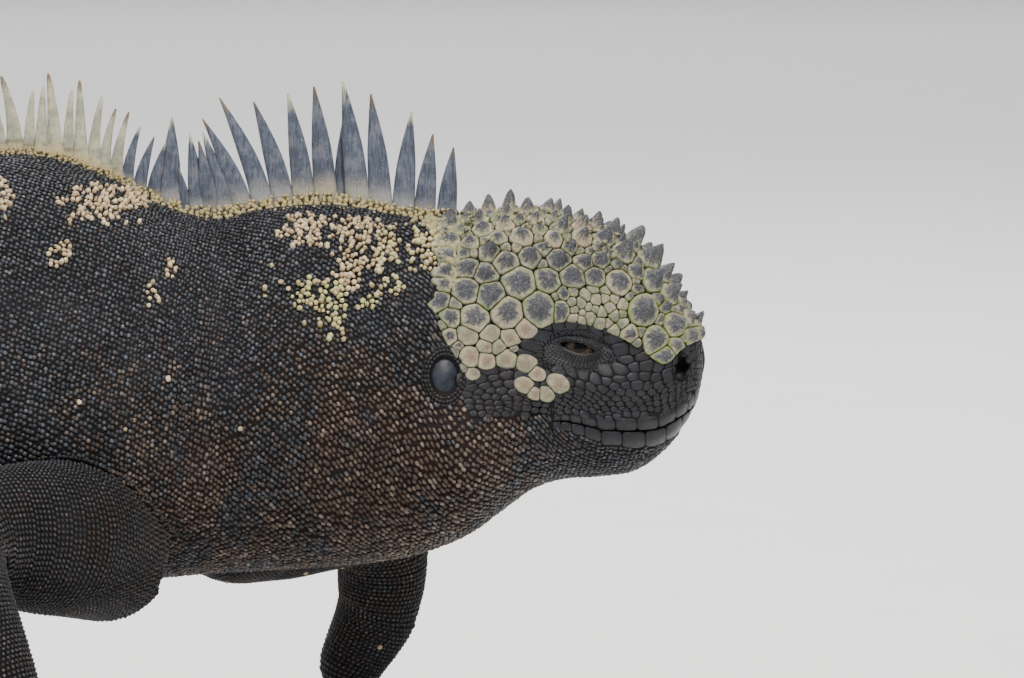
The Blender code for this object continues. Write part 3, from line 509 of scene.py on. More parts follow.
def backbone(stations):
    """Where the backbone passes at each station, and how far it turns there."""
    table, x, y = BACKBONE
    u = np.clip((stations - TAIL_BEND_FROM) / (TAIL_TIP - TAIL_BEND_FROM), 0.0, None)
    turns = TAIL_SWING * np.sin(TAU * TAIL_WAVES * u) * np.sqrt(u)
    return np.interp(stations, table, x), np.interp(stations, table, y), turns


def swellings(station, side, height):
    """How far the broad forms of the head and neck move the skin outwards."""
    move = np.zeros_like(height)
    for place, level, half_length, half_height, out in SWELLINGS:
        distance = ((station - place) / half_length) ** 2 + ((height - level) / half_height) ** 2
        move += out * np.exp(-distance)
    mouth = np.interp(station, MOUTH_STATIONS, MOUTH_HEIGHTS)
    lips = sum(np.exp(-(((height - mouth - s * LIP_OFFSET) / LIP_HALF_HEIGHT) ** 2)) for s in (-1, 1))
    move += LIP_SWELL * lips * (station < MOUTH_CORNER)
    blunt = np.clip(station / SWELLING_FADE, 0.0, 1.0)
    return move * blunt * np.clip(np.abs(side) / SWELLING_FADE, 0.0, 1.0)


def fine_forms(station, side, height):
    """The broad forms with the line of the mouth, the pits and the creases of the skin."""
    move = swellings(station, side, height)
    mouth = np.interp(station, MOUTH_STATIONS, MOUTH_HEIGHTS)
    groove = np.exp(-(((height - mouth) / MOUTH_HALF_WIDTH) ** 2))
    move -= MOUTH_DEPTH * groove * smooth_step(MOUTH_CORNER + 1.0, MOUTH_CORNER - 3.0, station)
    flank = np.clip(np.abs(side) / SWELLING_FADE, 0.0, 1.0)
    for place, level, half_length, half_height, depth, rim in PITS:
        distance = np.hypot((station - place) / half_length, (height - level) / half_height)
        move -= flank * depth * smooth_step(1.0, 0.72, distance)
        move += flank * rim * np.exp(-(((distance - 1.28) / 0.2) ** 2))
    for s0, h0, s1, h1, depth, half_width in CREASES:
        run_s, run_h = s1 - s0, h1 - h0
        u = ((station - s0) * run_s + (height - h0) * run_h) / (run_s**2 + run_h**2)
        held = np.clip(u, 0.0, 1.0)
        away = np.hypot(station - s0 - held * run_s, height - h0 - held * run_h) / half_width
        move += flank * depth * (0.5 * np.exp(-(((away - 2.0) / 0.9) ** 2)) - np.exp(-(away**2)))
    return move


def outlines(stations, forms, inward):
    """The body's outlines at many stations, from the back round the left side in equal steps."""
    rows = read_rows(BODY, stations)
    top, under, half_width, wide, square_up, square_down = [c[:, None] for c in rows.T]
    turn = np.linspace(0.0, TAU, ROUND, endpoint=False)[None]
    across, upward = np.sin(turn), np.cos(turn)
    square = np.where(upward > 0, square_up, square_down)
    reach = np.where(upward > 0, top - wide, wide - under) - inward
    side = (half_width - inward) * np.sign(across) * np.abs(across) ** (2 / square)
    height = wide + reach * np.sign(upward) * np.abs(upward) ** (2 / square)
    out = np.hypot(side, height - wide) + 1e-9
    plain = np.hypot(np.roll(side, -1, 1) - side, np.roll(height, -1, 1) - height)
    run = np.concatenate([np.zeros((len(stations), 1)), np.cumsum(plain, axis=1)], axis=1)
    move = forms(stations[:, None] + 0 * side, side, height)
    side, height = (
        side + move * side / out,
        height + move * (height - wide) / out * SWELLING_RISE_SHARE,
    )
    side = np.concatenate([side, side[:, :1]], axis=1)
    height = np.concatenate([height, height[:, :1]], axis=1)
    steps = np.linspace(0.0, 1.0, ROUND, endpoint=False)
    for row in range(len(stations)):
        stops = steps * run[row, -1]
        side[row, :-1] = np.interp(stops, run[row], side[row])
        height[row, :-1] = np.interp(stops, run[row], height[row])
    side, height = side[:, :-1], np.maximum(height[:, :-1], inward)
    cap = np.clip(stations / CAP_STATION, 0.0, 1.0)[:, None]
    middle = 0.5 * (height[:, :1] + height[:, ROUND // 2 : ROUND // 2 + 1])
    side, height = side * cap, middle + (height - middle) * cap
    x, y, turned = [v[:, None] for v in backbone(stations)]
    x = x + CAP_BULGE * (1.0 - cap**2)
    return np.stack([x + side * np.sin(turned), y + side * np.cos(turned), height], axis=2)


class Hide:
    """A surface of the body, read by station and by share of the way round it."""

    def __init__(self, forms, inward):
        cap = CAP_STATION * np.sin(np.linspace(0.0, math.pi / 2, CAP_STEPS, endpoint=False))
        steps = [np.arange(*plan) for plan in GRID_PLAN]
        self.stations = np.concatenate([cap, *steps, [TAIL_TIP]])
        self.grid = outlines(self.stations, forms, inward)
        around = np.roll(self.grid, -1, 1) - np.roll(self.grid, 1, 1)
        along = np.gradient(self.grid, axis=0)
        normals = np.cross(around, along)
        normals /= np.linalg.norm(normals, axis=2, keepdims=True) + 1e-12
        normals[0] = (1.0, 0.0, 0.0)
        self.normals = normals
        self.girths = np.linalg.norm(around, axis=2).sum(axis=1) / 2
        middle = self.grid[:, 0]
        self.back = np.concatenate([[0.0], np.cumsum(np.linalg.norm(np.diff(middle, axis=0), axis=1))])
        flank = self.grid[:, int(ROUND * 0.29)]
        self.flank = np.concatenate([[0.0], np.cumsum(np.linalg.norm(np.diff(flank, axis=0), axis=1))])

    def read(self, grid, station, share):
        """The value of a grid between its points."""
        row = np.interp(station, self.stations, np.arange(len(self.stations)))
        low = np.minimum(row.astype(int), len(self.stations) - 2)
        u = (row - low)[:, None]
        column = (share % 1.0) * ROUND
        left = np.floor(column).astype(int)
        v = (column - left)[:, None]
        left = left % ROUND
        right = (left + 1) % ROUND
        near = (1 - v) * grid[low, left] + v * grid[low, right]
        far = (1 - v) * grid[low + 1, left] + v * grid[low + 1, right]
        return (1 - u) * near + u * far

    def at(self, station, share):
        """Points of the surface and the ways out of it."""
        normals = self.read(self.normals, station, share)
        normals /= np.linalg.norm(normals, axis=1, keepdims=True) + 1e-12
        return self.read(self.grid, station, share), normals

    def girth(self, station):
        """The length round the body."""
        return np.interp(station, self.stations, self.girths)

    def share_at(self, station, height, side):
        """The share of the way round at which one side of the body passes a height."""
        station = np.atleast_1d(np.asarray(station, float))
        height = np.atleast_1d(np.asarray(height, float))
        row = np.round(np.interp(station, self.stations, np.arange(len(self.stations)))).astype(int)
        half = np.minimum.accumulate(self.grid[row, : ROUND // 2 + 1, 2], axis=1)
        below = (half > height[:, None]).sum(axis=1).clip(1, ROUND // 2)
        every = np.arange(len(row))
        high, low = half[every, below - 1], half[every, below]
        share = (below - 1 + np.clip((high - height) / (high - low + 1e-9), 0.0, 1.0)) / ROUND
        return np.where(side > 0, share, 1.0 - share)


def body_marks(points):
    """The skin's markings at points in millimetres: salt, rust and green, each from 0 to 1."""
    station = SNOUT_X - points[:, 0]
    side = points[:, 1] - SNOUT_Y
    height = points[:, 2]
    ragged = 0.42 * ripple(points, 1.6, 3) + 0.3 * ripple(points, 4.0, 4)
    salt = np.zeros(len(points))
    green = np.zeros(len(points))
    for sign, place, level, half_length, half_height, tint in SALT_PATCHES:
        near = np.hypot((station - place) / half_length, (height - level) / half_height) + ragged
        held = smooth_step(1.08, 0.88, near) * (side * sign > 0)
        green = np.where(held > salt, tint, green)
        salt = np.maximum(salt, held)
    low = smooth_step(150.0, 86.0, height) * smooth_step(250.0, 130.0, station)
    jowl = np.exp(-(((station - 86.0) / 40.0) ** 2) - ((height - 88.0) / 30.0) ** 2)
    cluster = np.clip(0.5 + 0.55 * ripple(points, 9.0, 5) + 0.3 * ripple(points, 3.0, 6), 0.0, 1.0)
    rust = (0.05 + 0.34 * low + 0.5 * jowl) * (0.25 + 1.1 * cluster)
    rust *= smooth_step(30.0, 58.0, station) * smooth_step(420.0, 250.0, station)
    return salt, np.clip(rust, 0.01, 0.85), green


def lay_marks(mesh, marks, form):
    """Stores the markings and the form of each point for the finishes to read."""
    for name, values in (("marks", marks), ("form", form)):
        layer = mesh.attributes.new(name, "FLOAT_VECTOR", "POINT")
        layer.data.foreach_set("vector", np.ascontiguousarray(values, dtype=np.float32).ravel())


def new_piece(name, points, faces, finish, bake=None):
    """An object of points in millimetres and lists of faces, with its bake map if one is given."""
    mesh = bpy.data.meshes.new(name)
    mesh.vertices.add(len(points))
    mesh.vertices.foreach_set("co", (np.asarray(points, np.float32) * MM).ravel())
    faces = [np.asarray(block, np.int32) for block in faces if len(block)]
    corners = np.concatenate([block.ravel() for block in faces])
    totals = np.concatenate([np.full(len(block), block.shape[1], np.int32) for block in faces])
    mesh.loops.add(len(corners))
    mesh.loops.foreach_set("vertex_index", corners)
    mesh.polygons.add(len(totals))
    starts = np.concatenate([[0], np.cumsum(totals)[:-1]]).astype(np.int32)
    mesh.polygons.foreach_set("loop_start", starts)
    mesh.polygons.foreach_set("use_smooth", np.ones(len(totals), bool))
    mesh.update(calc_edges=True)
    if bake is not None:
        lay_bake_map(mesh, bake[corners])
    mesh.materials.append(finish)
    made = bpy.data.objects.new(name, mesh)
    bpy.context.scene.collection.objects.link(made)
    return made


def lay_bake_map(mesh, corners):
    """Gives a mesh the map that its baked colours are drawn on."""
    layer = mesh.uv_layers.new(name="OFBake")
    layer.data.foreach_set("uv", np.ascontiguousarray(corners, dtype=np.float32).ravel())


BAKE_BODY_SHARE = 0.72


def body_map(station, share):
    """The place of a point of the body on the unwrap of the skin."""
    return np.column_stack([0.01 + 0.98 * (share % 1.0), BAKE_BODY_SHARE * station / TAIL_TIP])


def leg_map(number, along, turn):
    """The place of a point of a leg, hand or foot on the unwrap of the skin."""
    lane = 0.27 / 8
    low = BAKE_BODY_SHARE + 0.01 + lane * (number % 8)
    return np.column_stack([0.01 + 0.98 * along, low + 0.9 * lane * (turn % 1.0)])


class Tube:
    """A leg, palm or toe as a tube, read by share of its length and by turn round it."""

    def __init__(self, points, radii, number, rings=60):
        points = np.array(points, float)
        keys = np.concatenate([[0.0], np.cumsum(np.linalg.norm(np.diff(points, axis=0), axis=1))])
        fine = read_rows(np.column_stack([keys, points]), np.linspace(0, keys[-1], 240))
        run = np.concatenate([[0.0], np.cumsum(np.linalg.norm(np.diff(fine, axis=0), axis=1))])
        stops = np.linspace(0, run[-1], rings)
        self.path = np.column_stack([np.interp(stops, run, fine[:, i]) for i in range(3)])
        self.shares = np.linspace(0.0, 1.0, rings)
        self.length = run[-1]
        self.radii = read_rows(radii, self.shares)
        self.number = number
        along = np.gradient(self.path, axis=0)
        along /= np.linalg.norm(along, axis=1, keepdims=True)
        across = np.cross(along, (0.0, 0.0, 1.0))
        across /= np.linalg.norm(across, axis=1, keepdims=True)
        self.along, self.across, self.upright = along, across, np.cross(across, along)

    def read(self, values, share):
        """A row of values between the tube's rings."""
        return np.column_stack([np.interp(share, self.shares, values[:, i]) for i in range(values.shape[1])])

    def at(self, share, turn, inward=0.0):
        """Points of the tube's surface and the ways out of it."""
        middle, radii = self.read(self.path, share), self.read(self.radii, share) - inward
        across, upright = self.read(self.across, share), self.read(self.upright, share)
        c, s = np.cos(TAU * turn)[:, None], np.sin(TAU * turn)[:, None]
        points = middle + across * radii[:, :1] * c + upright * radii[:, 1:] * s
        ways = across * c / radii[:, :1] + upright * s / radii[:, 1:]
        points[:, 2] = np.maximum(points[:, 2], inward)
        return points, ways / np.linalg.norm(ways, axis=1, keepdims=True)

    def mesh(self, name, rings, sides, inward):
        """The tube as a closed object."""
        share = np.repeat(np.linspace(0.0, 1.0, rings), sides)
        turn = np.tile(np.arange(sides) / sides, rings)
        points, _ = self.at(share, turn, inward)
        faces = ring_faces(rings, sides)
        ends = np.array([[points[:sides].mean(axis=0)], [points[-sides:].mean(axis=0)]])[:, 0]
        first, last = len(points), len(points) + 1
        near = np.arange(sides)
        far = near + (rings - 1) * sides
        caps = np.concatenate(
            [
                np.column_stack([np.roll(near, -1), near, np.full(sides, first)]),
                np.column_stack([far, np.roll(far, -1), np.full(sides, last)]),
            ]
        )
        bake = leg_map(self.number, np.append(share, [0.0, 1.0]), np.append(turn, [0.0, 0.0]))
        return new_piece(name, np.vstack([points, ends]), [faces, caps], plain_finish(), bake)


def ring_faces(rings, sides):
    """The faces between rings of equal count."""
    row, column = np.meshgrid(np.arange(rings - 1), np.arange(sides), indexing="ij")
    row, column = row.ravel() * sides, column.ravel()
    onward = (column + 1) % sides
    return np.column_stack([row + column, row + onward, row + sides + onward, row + sides + column])


def floor_direction(angle):
    """A level direction, turned by an angle in degrees from straight ahead."""
    a = math.radians(angle)
    return np.array([math.cos(a), math.sin(a), 0.0])


# The share of a leg's length over which its upper end is rounded, where the chest doesn't cover it.
ROUNDED_ROOTS = {"left_fore": 0.2}


def leg_tubes():
    """Every leg, palm and toe as tubes, and the place and way of every claw."""
    tubes = {}
    claws = {}
    for number, (name, leg) in enumerate(LEGS.items()):
        side = leg["side"]
        path = [(SNOUT_X - s, SNOUT_Y + side * out, high) for s, out, high in leg["path"]]
        tubes[name] = Tube(path, leg["radii"], 2 * number)
        if name in ROUNDED_ROOTS:
            left_over = np.clip(1.0 - tubes[name].shares / ROUNDED_ROOTS[name], 0.0, 1.0)
            tubes[name].radii *= np.clip(np.sqrt(1.0 - left_over**2), 0.2, 1.0)[:, None]
        kind = leg["toes"]
        way = floor_direction(leg["heading"])
        left = floor_direction(leg["heading"] + 90.0)
        heel = tubes[name].path[-1]
        half = PALM_HALF_WIDTH[kind]
        length = PALM_LENGTH[kind]
        palm = np.array([heel + way * length * u for u in (0.0, 0.5, 1.0)])
        palm[:, 2] = PALM_HEIGHTS
        radii = [(u, half * wide, tall) for u, wide, tall in PALM_PROFILE]
        tubes[name + "_palm"] = Tube(palm, radii, 2 * number + 1, 24)
        radius = TOE_RADIUS[kind]
        for toe, (turn, reach, place) in enumerate(TOES[kind], start=1):
            start = heel + way * length * place + left * side * (toe - 3) * TOE_SPREAD * half
            ahead = floor_direction(leg["heading"] + side * turn)
            reach += length * (TOE_ROOT - place)
            run = [start * (1, 1, 0) + ahead * reach * u + np.array([0, 0, radius * h]) for u, h in TOE_RUN]
            radii = [(u, radius * wide, radius * tall) for u, wide, tall in TOE_PROFILE]
            key = f"{name}_toe_{toe}"
            tubes[key] = Tube(run, radii, 2 * number + 1, 20)
            front = "hand" if kind == "hand" else "foot"
            claw = f"claw_{front}_{'left' if side > 0 else 'right'}_{toe}"
            claws[claw] = (run[-1], ahead, radius, CLAW_LENGTH[kind])
    return tubes, claws


def deselect():
    """Leaves nothing selected."""
    for thing in bpy.context.selected_objects:
        thing.select_set(False)


def activate(thing):
    """Selects one object alone."""
    deselect()
    thing.select_set(True)
    bpy.context.view_layer.objects.active = thing


def remove(thing):
    """Removes an object and its mesh."""
    mesh = thing.data
    bpy.data.objects.remove(thing)
    bpy.data.meshes.remove(mesh)


def mesh_arrays(thing):
    """A mesh's points, and its faces grouped by their number of corners."""
    mesh = thing.data
    points = np.zeros(len(mesh.vertices) * 3, np.float32)
    mesh.vertices.foreach_get("co", points)
    groups = {}
    for face in mesh.polygons:
        groups.setdefault(len(face.vertices), []).append(tuple(face.vertices))
    return points.reshape(-1, 3).astype(float), [np.array(group) for group in groups.values()]


class Wire:
    """A socket with the arithmetic that the finishes use."""

    def __init__(self, finish, socket):
        self.finish = finish
        self.socket = socket

    def _maths(self, operation, *values, clamp=False):
        settings = {"operation": operation, "use_clamp": clamp}
        return self.finish.node("ShaderNodeMath", settings, dict(enumerate(values)))

    def __add__(self, other):
        return self._maths("ADD", self, other)

    def __radd__(self, other):
        return self._maths("ADD", other, self)

    def __sub__(self, other):
        return self._maths("SUBTRACT", self, other)

    def __rsub__(self, other):
        return self._maths("SUBTRACT", other, self)

    def __mul__(self, other):
        return self._maths("MULTIPLY", self, other)

    def __rmul__(self, other):
        return self._maths("MULTIPLY", other, self)

    def __truediv__(self, other):
        return self._maths("DIVIDE", self, other)

    def __pow__(self, other):
        return self._maths("POWER", self, other)

    def clamp(self):
        """The value held between 0 and 1."""
        return self._maths("ADD", self, 0.0, clamp=True)

    def rise(self, low, high):
        """0 to 1 while the value goes from low to high."""
        sockets = {"Value": self, "From Min": low, "From Max": high}
        settings = {"interpolation_type": "SMOOTHSTEP", "clamp": True}
        return self.finish.node("ShaderNodeMapRange", settings, sockets)


class Finish:
    """A material whose Principled shader is fed by expressions."""

    def __init__(self, name, **fixed):
        self.material = bpy.data.materials.new(name)
        self.material.use_nodes = True
        self.tree = self.material.node_tree
        self.shader = self.tree.nodes["Principled BSDF"]
        for socket, value in fixed.items():
            self.shader.inputs[socket.replace("_", " ")].default_value = value

    def node(self, kind, settings=None, sockets=None, output=0):
        """Adds a node: first its settings, then its sockets' values or links."""
        made = self.tree.nodes.new(kind)
        for key, value in (settings or {}).items():
            if key == "stops":
                self._stops(made.color_ramp, value)
            else:
                setattr(made, key, value)
        for key, value in (sockets or {}).items():
            if isinstance(value, Wire):
                self.tree.links.new(value.socket, made.inputs[key])
            else:
                made.inputs[key].default_value = value
        return Wire(self, made.outputs[output])

    @staticmethod
    def _stops(ramp, stops):
        while len(ramp.elements) < len(stops):
            ramp.elements.new(0.5)
        for element, (place, colour) in zip(ramp.elements, stops):
            element.position = place
            element.color = (*colour, 1.0)

    def place(self):
        """The point's place on the object."""
        return self.node("ShaderNodeTexCoord", output="Object")

    def stored(self, name):
        """The three numbers of a stored attribute."""
        held = self.node("ShaderNodeAttribute", {"attribute_name": name}, output="Vector")
        parts = self.tree.nodes.new("ShaderNodeSeparateXYZ")
        self.tree.links.new(held.socket, parts.inputs[0])
        return [Wire(self, parts.outputs[i]) for i in range(3)]

    def noise(self, size_mm, detail=3.0, roughness=0.55, distortion=0.0):
        """Cloudy noise whose patches are about the given size."""
        sockets = {
            "Vector": self.place(),
            "Scale": 1.0 / (size_mm * MM),
            "Detail": detail,
            "Roughness": roughness,
            "Distortion": distortion,
        }
        return self.node("ShaderNodeTexNoise", {}, sockets, output=0)

    def mix(self, share, first, second, blend="MIX"):
        """A colour between two colours."""
        made = self.tree.nodes.new("ShaderNodeMix")
        made.data_type = "RGBA"
        made.blend_type = blend
        for index, value in ((0, share), (6, first), (7, second)):
            if isinstance(value, Wire):
                self.tree.links.new(value.socket, made.inputs[index])
            elif index == 0:
                made.inputs[index].default_value = value
            else:
                made.inputs[index].default_value = (*value, 1.0)
        return Wire(self, made.outputs[2])

    def bump(self, height, depth_mm, strength=1.0, under=None):
        """A fine relief of the given depth."""
        sockets = {"Height": height, "Distance": depth_mm * MM, "Strength": strength}
        if under is not None:
            sockets["Normal"] = under
        return self.node("ShaderNodeBump", {}, sockets)

    def feed(self, **values):
        """Links values to the shader's sockets."""
        for name, value in values.items():
            self.tree.links.new(value.socket, self.shader.inputs[name.replace("_", " ")])
        return self.material


def plain_finish():
    """A stand-in material for pieces that are joined into the skin."""
    held = bpy.data.materials.get("skin")
    return held or skin_finish()


def hide_colour(finish, marks, form, colours):
    """The colour of skin and scales: near black with grey, blue or tan tops, salt and green."""
    salt, rust, green = marks
    rise, tone, _ = form
    cloud = finish.noise(16.0, 3.0)
    speck = finish.noise(0.45, 2.0)
    ground = finish.mix(cloud.rise(0.35, 0.65), colours["charcoal"], colours["slate"])
    ground = finish.mix((rust * 0.6).clamp(), ground, colours["rust"])
    # The blue-grey tops are a painted highlight, brighter on scales of higher tone, which differs at random.
    cool = finish.mix(tone, colours["sheen_dark"], colours["sheen"])
    # The brown scales' tops run from ochre to a pale painted highlight towards the peak.
    warm = finish.mix((rise * 0.6 + tone * 0.8).rise(0.5, 1.25), colours["ochre"], colours["tan"])
    top = finish.mix(rust, cool, warm)
    # Painted highlight: each scale is coloured lighter towards its peak, broken up by specks, over the dark ground.
    painted_highlight = (rise + (speck - 0.5) * 0.6).rise(0.2, 0.95)
    body = finish.mix(painted_highlight, ground, top)
    crust = finish.mix((tone * 0.7 + speck * 0.6).rise(0.25, 0.95), colours["salt_shade"], colours["salt"])
    crust = finish.mix((green * (0.3 + tone)).clamp(), crust, colours["lichen"])
    # Each crumb darkens towards its foot to a dark brown.
    crust = finish.mix((1.0 - rise.rise(0.0, 0.35)) * 0.75, crust, colours["salt_root"])
    return finish.mix(salt, body, crust)


def hide_colours():
    """The colours of the skin from the add-on's settings."""
    held = bpy.context.scene.iguana_colours
    names = ("charcoal", "slate", "rust", "ochre", "sheen_dark", "sheen", "tan")
    names += ("salt", "salt_shade", "salt_root", "lichen")
    return {name: tuple(getattr(held, name)) for name in names}


def skin_finish():
    """The skin between and under the scales."""
    finish = Finish("skin", Specular_IOR_Level=0.12)
    marks, form = finish.stored("marks"), finish.stored("form")
    colour = hide_colour(finish, marks, form, hide_colours())
    grain = finish.noise(0.6, 3.0)
    normal = finish.bump(grain, 0.25, 0.6)
    return finish.feed(Base_Color=colour, Roughness=grain * 0.25 + 0.6, Normal=normal)


def scale_finish():
    """Dry, slightly glossy scales."""
    finish = Finish("scales", Specular_IOR_Level=0.32)
    marks, form = finish.stored("marks"), finish.stored("form")
    colour = hide_colour(finish, marks, form, hide_colours())
    grain = finish.noise(0.22, 2.0)
    normal = finish.bump(grain, 0.06, 0.5)
    rough = (grain * 0.3 + 0.44 - 0.3 * form[1] + 0.5 * marks[0]).clamp()
    return finish.feed(Base_Color=colour, Roughness=rough, Normal=normal)


def material(name, maker):
    """A finish made once and used again."""
    return bpy.data.materials.get(name) or maker()


def read_mesh_shape(sides, top_radius, top_height, peak_height):
    """A scale modelled from a cone: its points and faces, about 1 across and 1 high."""
    deselect()
    bpy.ops.mesh.primitive_cone_add(
        vertices=sides, radius1=1.0, radius2=top_radius, depth=1.0, end_fill_type="NGON", location=(0, 0, 0)
    )
    cone = bpy.context.active_object
    bpy.ops.object.mode_set(mode="EDIT")
    bpy.ops.mesh.select_mode(type="FACE")
    bpy.ops.mesh.select_all(action="DESELECT")
    bpy.ops.object.mode_set(mode="OBJECT")
    for face in cone.data.polygons:
        face.select = face.normal.z > 0.9
    bpy.ops.object.mode_set(mode="EDIT")
    bpy.ops.mesh.poke()
    bpy.ops.mesh.select_all(action="SELECT")
    bpy.ops.mesh.quads_convert_to_tris()
    bpy.ops.object.mode_set(mode="OBJECT")
    points, faces = mesh_arrays(cone)
    remove(cone)
    level = points[:, 2]
    middle = np.hypot(points[:, 0], points[:, 1]) < 1e-4
    shaped = np.where(level < 0, 0.0, top_height)
    points[:, 2] = np.where(middle & (level > 0), peak_height, shaped)
    return points, faces


def read_bead_shape(sides):
    """The smallest scale: a low cone of few faces."""
    deselect()
    bpy.ops.mesh.primitive_cone_add(
        vertices=sides, radius1=1.0, radius2=0.0, depth=1.0, end_fill_type="NGON", location=(0, 0, 0.5)
    )
    cone = bpy.context.active_object
    bpy.ops.object.mode_set(mode="EDIT")
    bpy.ops.mesh.select_all(action="SELECT")
    bpy.ops.mesh.quads_convert_to_tris()
    bpy.ops.object.mode_set(mode="OBJECT")
    points, faces = mesh_arrays(cone)
    remove(cone)
    points[:, 2] += 0.5
    return points, faces


def read_keel_shape():
    """A tail scale: a long plate with a ridge along it, higher behind."""
    points, faces = read_mesh_shape(6, 0.66, 0.6, 0.85)
    upper = points[:, 2] > 0.1
    points[upper, 1] *= 0.42
    points[upper, 2] += 0.22 * (points[upper, 0] < 0.0)
    return points, faces


def stamp(name, shape, centres, normals, heads, sizes, marks, tones, bake, finish, lift=0.0, kind=0.0):
    """Joins copies of a shape into one piece, each set on its place and turned to its heading."""
    points, faces = shape
    x_axis = heads - normals * np.einsum("ij,ij->i", heads, normals)[:, None]
    x_axis /= np.linalg.norm(x_axis, axis=1, keepdims=True) + 1e-12
    y_axis = np.cross(normals, x_axis)
    count, corners = len(centres), len(points)
    out = centres[:, None] + x_axis[:, None] * (points[None, :, :1] * sizes[:, None, :1])
    out += y_axis[:, None] * (points[None, :, 1:2] * sizes[:, None, 1:2])
    out += normals[:, None] * (points[None, :, 2:] * sizes[:, None, 2:] + lift)
    out = out.reshape(-1, 3)
    out[:, 2] = np.maximum(out[:, 2], 0.0)
    offsets = (np.arange(count) * corners)[:, None, None]
    blocks = [(block[None] + offsets).reshape(-1, block.shape[1]) for block in faces]
    spread = np.tile(points[:, :2] * BAKE_PATCH / 2, (count, 1))
    made = new_piece(name, out, blocks, finish, np.repeat(bake, corners, axis=0) + spread)
    rise = np.tile(points[:, 2] / points[:, 2].max(), count)
    form = np.column_stack([rise, np.repeat(tones, corners), np.full(len(rise), kind)])
    lay_marks(made.data, np.repeat(marks, corners, axis=0), form)
    return made


BAKE_PATCH = 0.003


class State:
    """What the pieces share while they are made."""

    skin = None
    search = None
    corners = None
    placed = []
    tubes = None
    claws = None
    plain = None
    fine = None


def prepare():
    """Works out the body's surfaces and the legs once."""
    if State.plain is None:
        State.plain = Hide(swellings, SKIN_DEPTH)
        State.fine = Hide(fine_forms, SKIN_DEPTH)
        State.tubes, State.claws = leg_tubes()


def own(thing, slot, *nodes):
    """Makes a piece ride on the body, take a finish slot and stand for its nodes."""
    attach(thing, BODY_NAME)
    if nodes:
        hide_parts(*nodes)
    return thing


def body_mesh():
    """The body from snout to tail as one closed mesh, with rings of fewer points towards the tail."""
    hide = State.fine
    rings = []
    for share in np.sin(np.linspace(0.12, math.pi / 2, CAP_STEPS, endpoint=False)):
        rings.append((CAP_STATION * share, RING_PLAN[0][3]))
    for first, last, step, count in RING_PLAN:
        number = max(2, round((last - first) / step))
        rings += [(s, count) for s in np.linspace(first, last, number, endpoint=False)]
    rings.append((TAIL_TIP, RING_PLAN[-1][3]))
    points, bake, faces = [], [], []
    start, previous = 0, None
    for station, count in rings:
        share = np.arange(count) / count
        place, _ = hide.at(np.full(count, station), share)
        points.append(place)
        bake.append(body_map(np.full(count, station), share))
        if previous is not None:
            faces.append(zip_rings(previous[0], previous[1], start, count))
        previous = (start, count)
        start += count
    points = np.vstack(points)
    bake = np.vstack(bake)
    first_count, last_start, last_count = rings[0][1], previous[0], previous[1]
    ends = np.vstack([points[:first_count].mean(axis=0), points[last_start:].mean(axis=0)])
    near = np.arange(first_count)
    far = last_start + np.arange(last_count)
    faces.append(np.column_stack([near, np.full(first_count, start), np.roll(near, -1)])[:, ::-1])
    faces.append(np.column_stack([far, np.roll(far, -1), np.full(last_count, start + 1)])[:, ::-1])
    bake = np.vstack([bake, [[0.5, 0.0], [0.5, BAKE_BODY_SHARE]]])
    made = new_piece("skin", np.vstack([points, ends]), [np.vstack(faces)[:, ::-1]], skin_finish(), bake)
    straighten_map(made.data)
    return made


def zip_rings(near, near_count, far, far_count):
    """The triangles between two rings that may have different numbers of points."""
    if near_count == far_count:
        j = np.arange(near_count)
        k = (j + 1) % near_count
        one = np.column_stack([near + j, near + k, far + k])
        two = np.column_stack([near + j, far + k, far + j])
        return np.vstack([one, two])[:, ::-1]
    faces = []
    i = j = 0
    while i < near_count or j < far_count:
        if j >= far_count or (i < near_count and (i + 1) / near_count <= (j + 1) / far_count):
            faces.append((near + i % near_count, near + (i + 1) % near_count, far + j % far_count))
            i += 1
        else:
            faces.append((near + i % near_count, far + (j + 1) % far_count, far + j % far_count))
            j += 1
    return np.array(faces)[:, ::-1]


def straighten_map(mesh):
    """Keeps the faces that cross the map's seam on one side of it."""
    count = len(mesh.loops)
    corners = np.zeros(count * 2, np.float32)
    layer = mesh.uv_layers["OFBake"].data
    layer.foreach_get("uv", corners)
    corners = corners.reshape(-1, 3, 2)
    wide = (corners[:, :, 0].max(axis=1) - corners[:, :, 0].min(axis=1)) > 0.5
    low = wide[:, None] & (corners[:, :, 0] < 0.5)
    corners[:, :, 0] = np.where(low, corners[:, :, 0] + 0.98, corners[:, :, 0])
    layer.foreach_set("uv", corners.ravel())


def join_legs(body):
    """Unites the legs, palms and toes with the body and softens the folds at their roots."""
    group = bpy.data.collections.new("legs")
    bpy.context.scene.collection.children.link(group)
    for name, tube in State.tubes.items():
        rings, sides = (TOE_RINGS, TOE_SIDES) if "_toe_" in name else (LEG_RINGS, LEG_SIDES)
        piece = tube.mesh(name, rings // 2 if "_palm" in name else rings, sides, SKIN_DEPTH)
        for other in piece.users_collection:
            other.objects.unlink(piece)
        group.objects.link(piece)
    activate(body)
    bpy.ops.object.modifier_add(type="BOOLEAN")
    change = body.modifiers[-1]
    change.operation = "UNION"
    change.operand_type = "COLLECTION"
    change.collection = group
    change.solver = "MANIFOLD"
    bpy.ops.object.modifier_apply(modifier=change.name)
    for piece in list(group.objects):
        remove(piece)
    bpy.data.collections.remove(group)
    soften_roots(body)


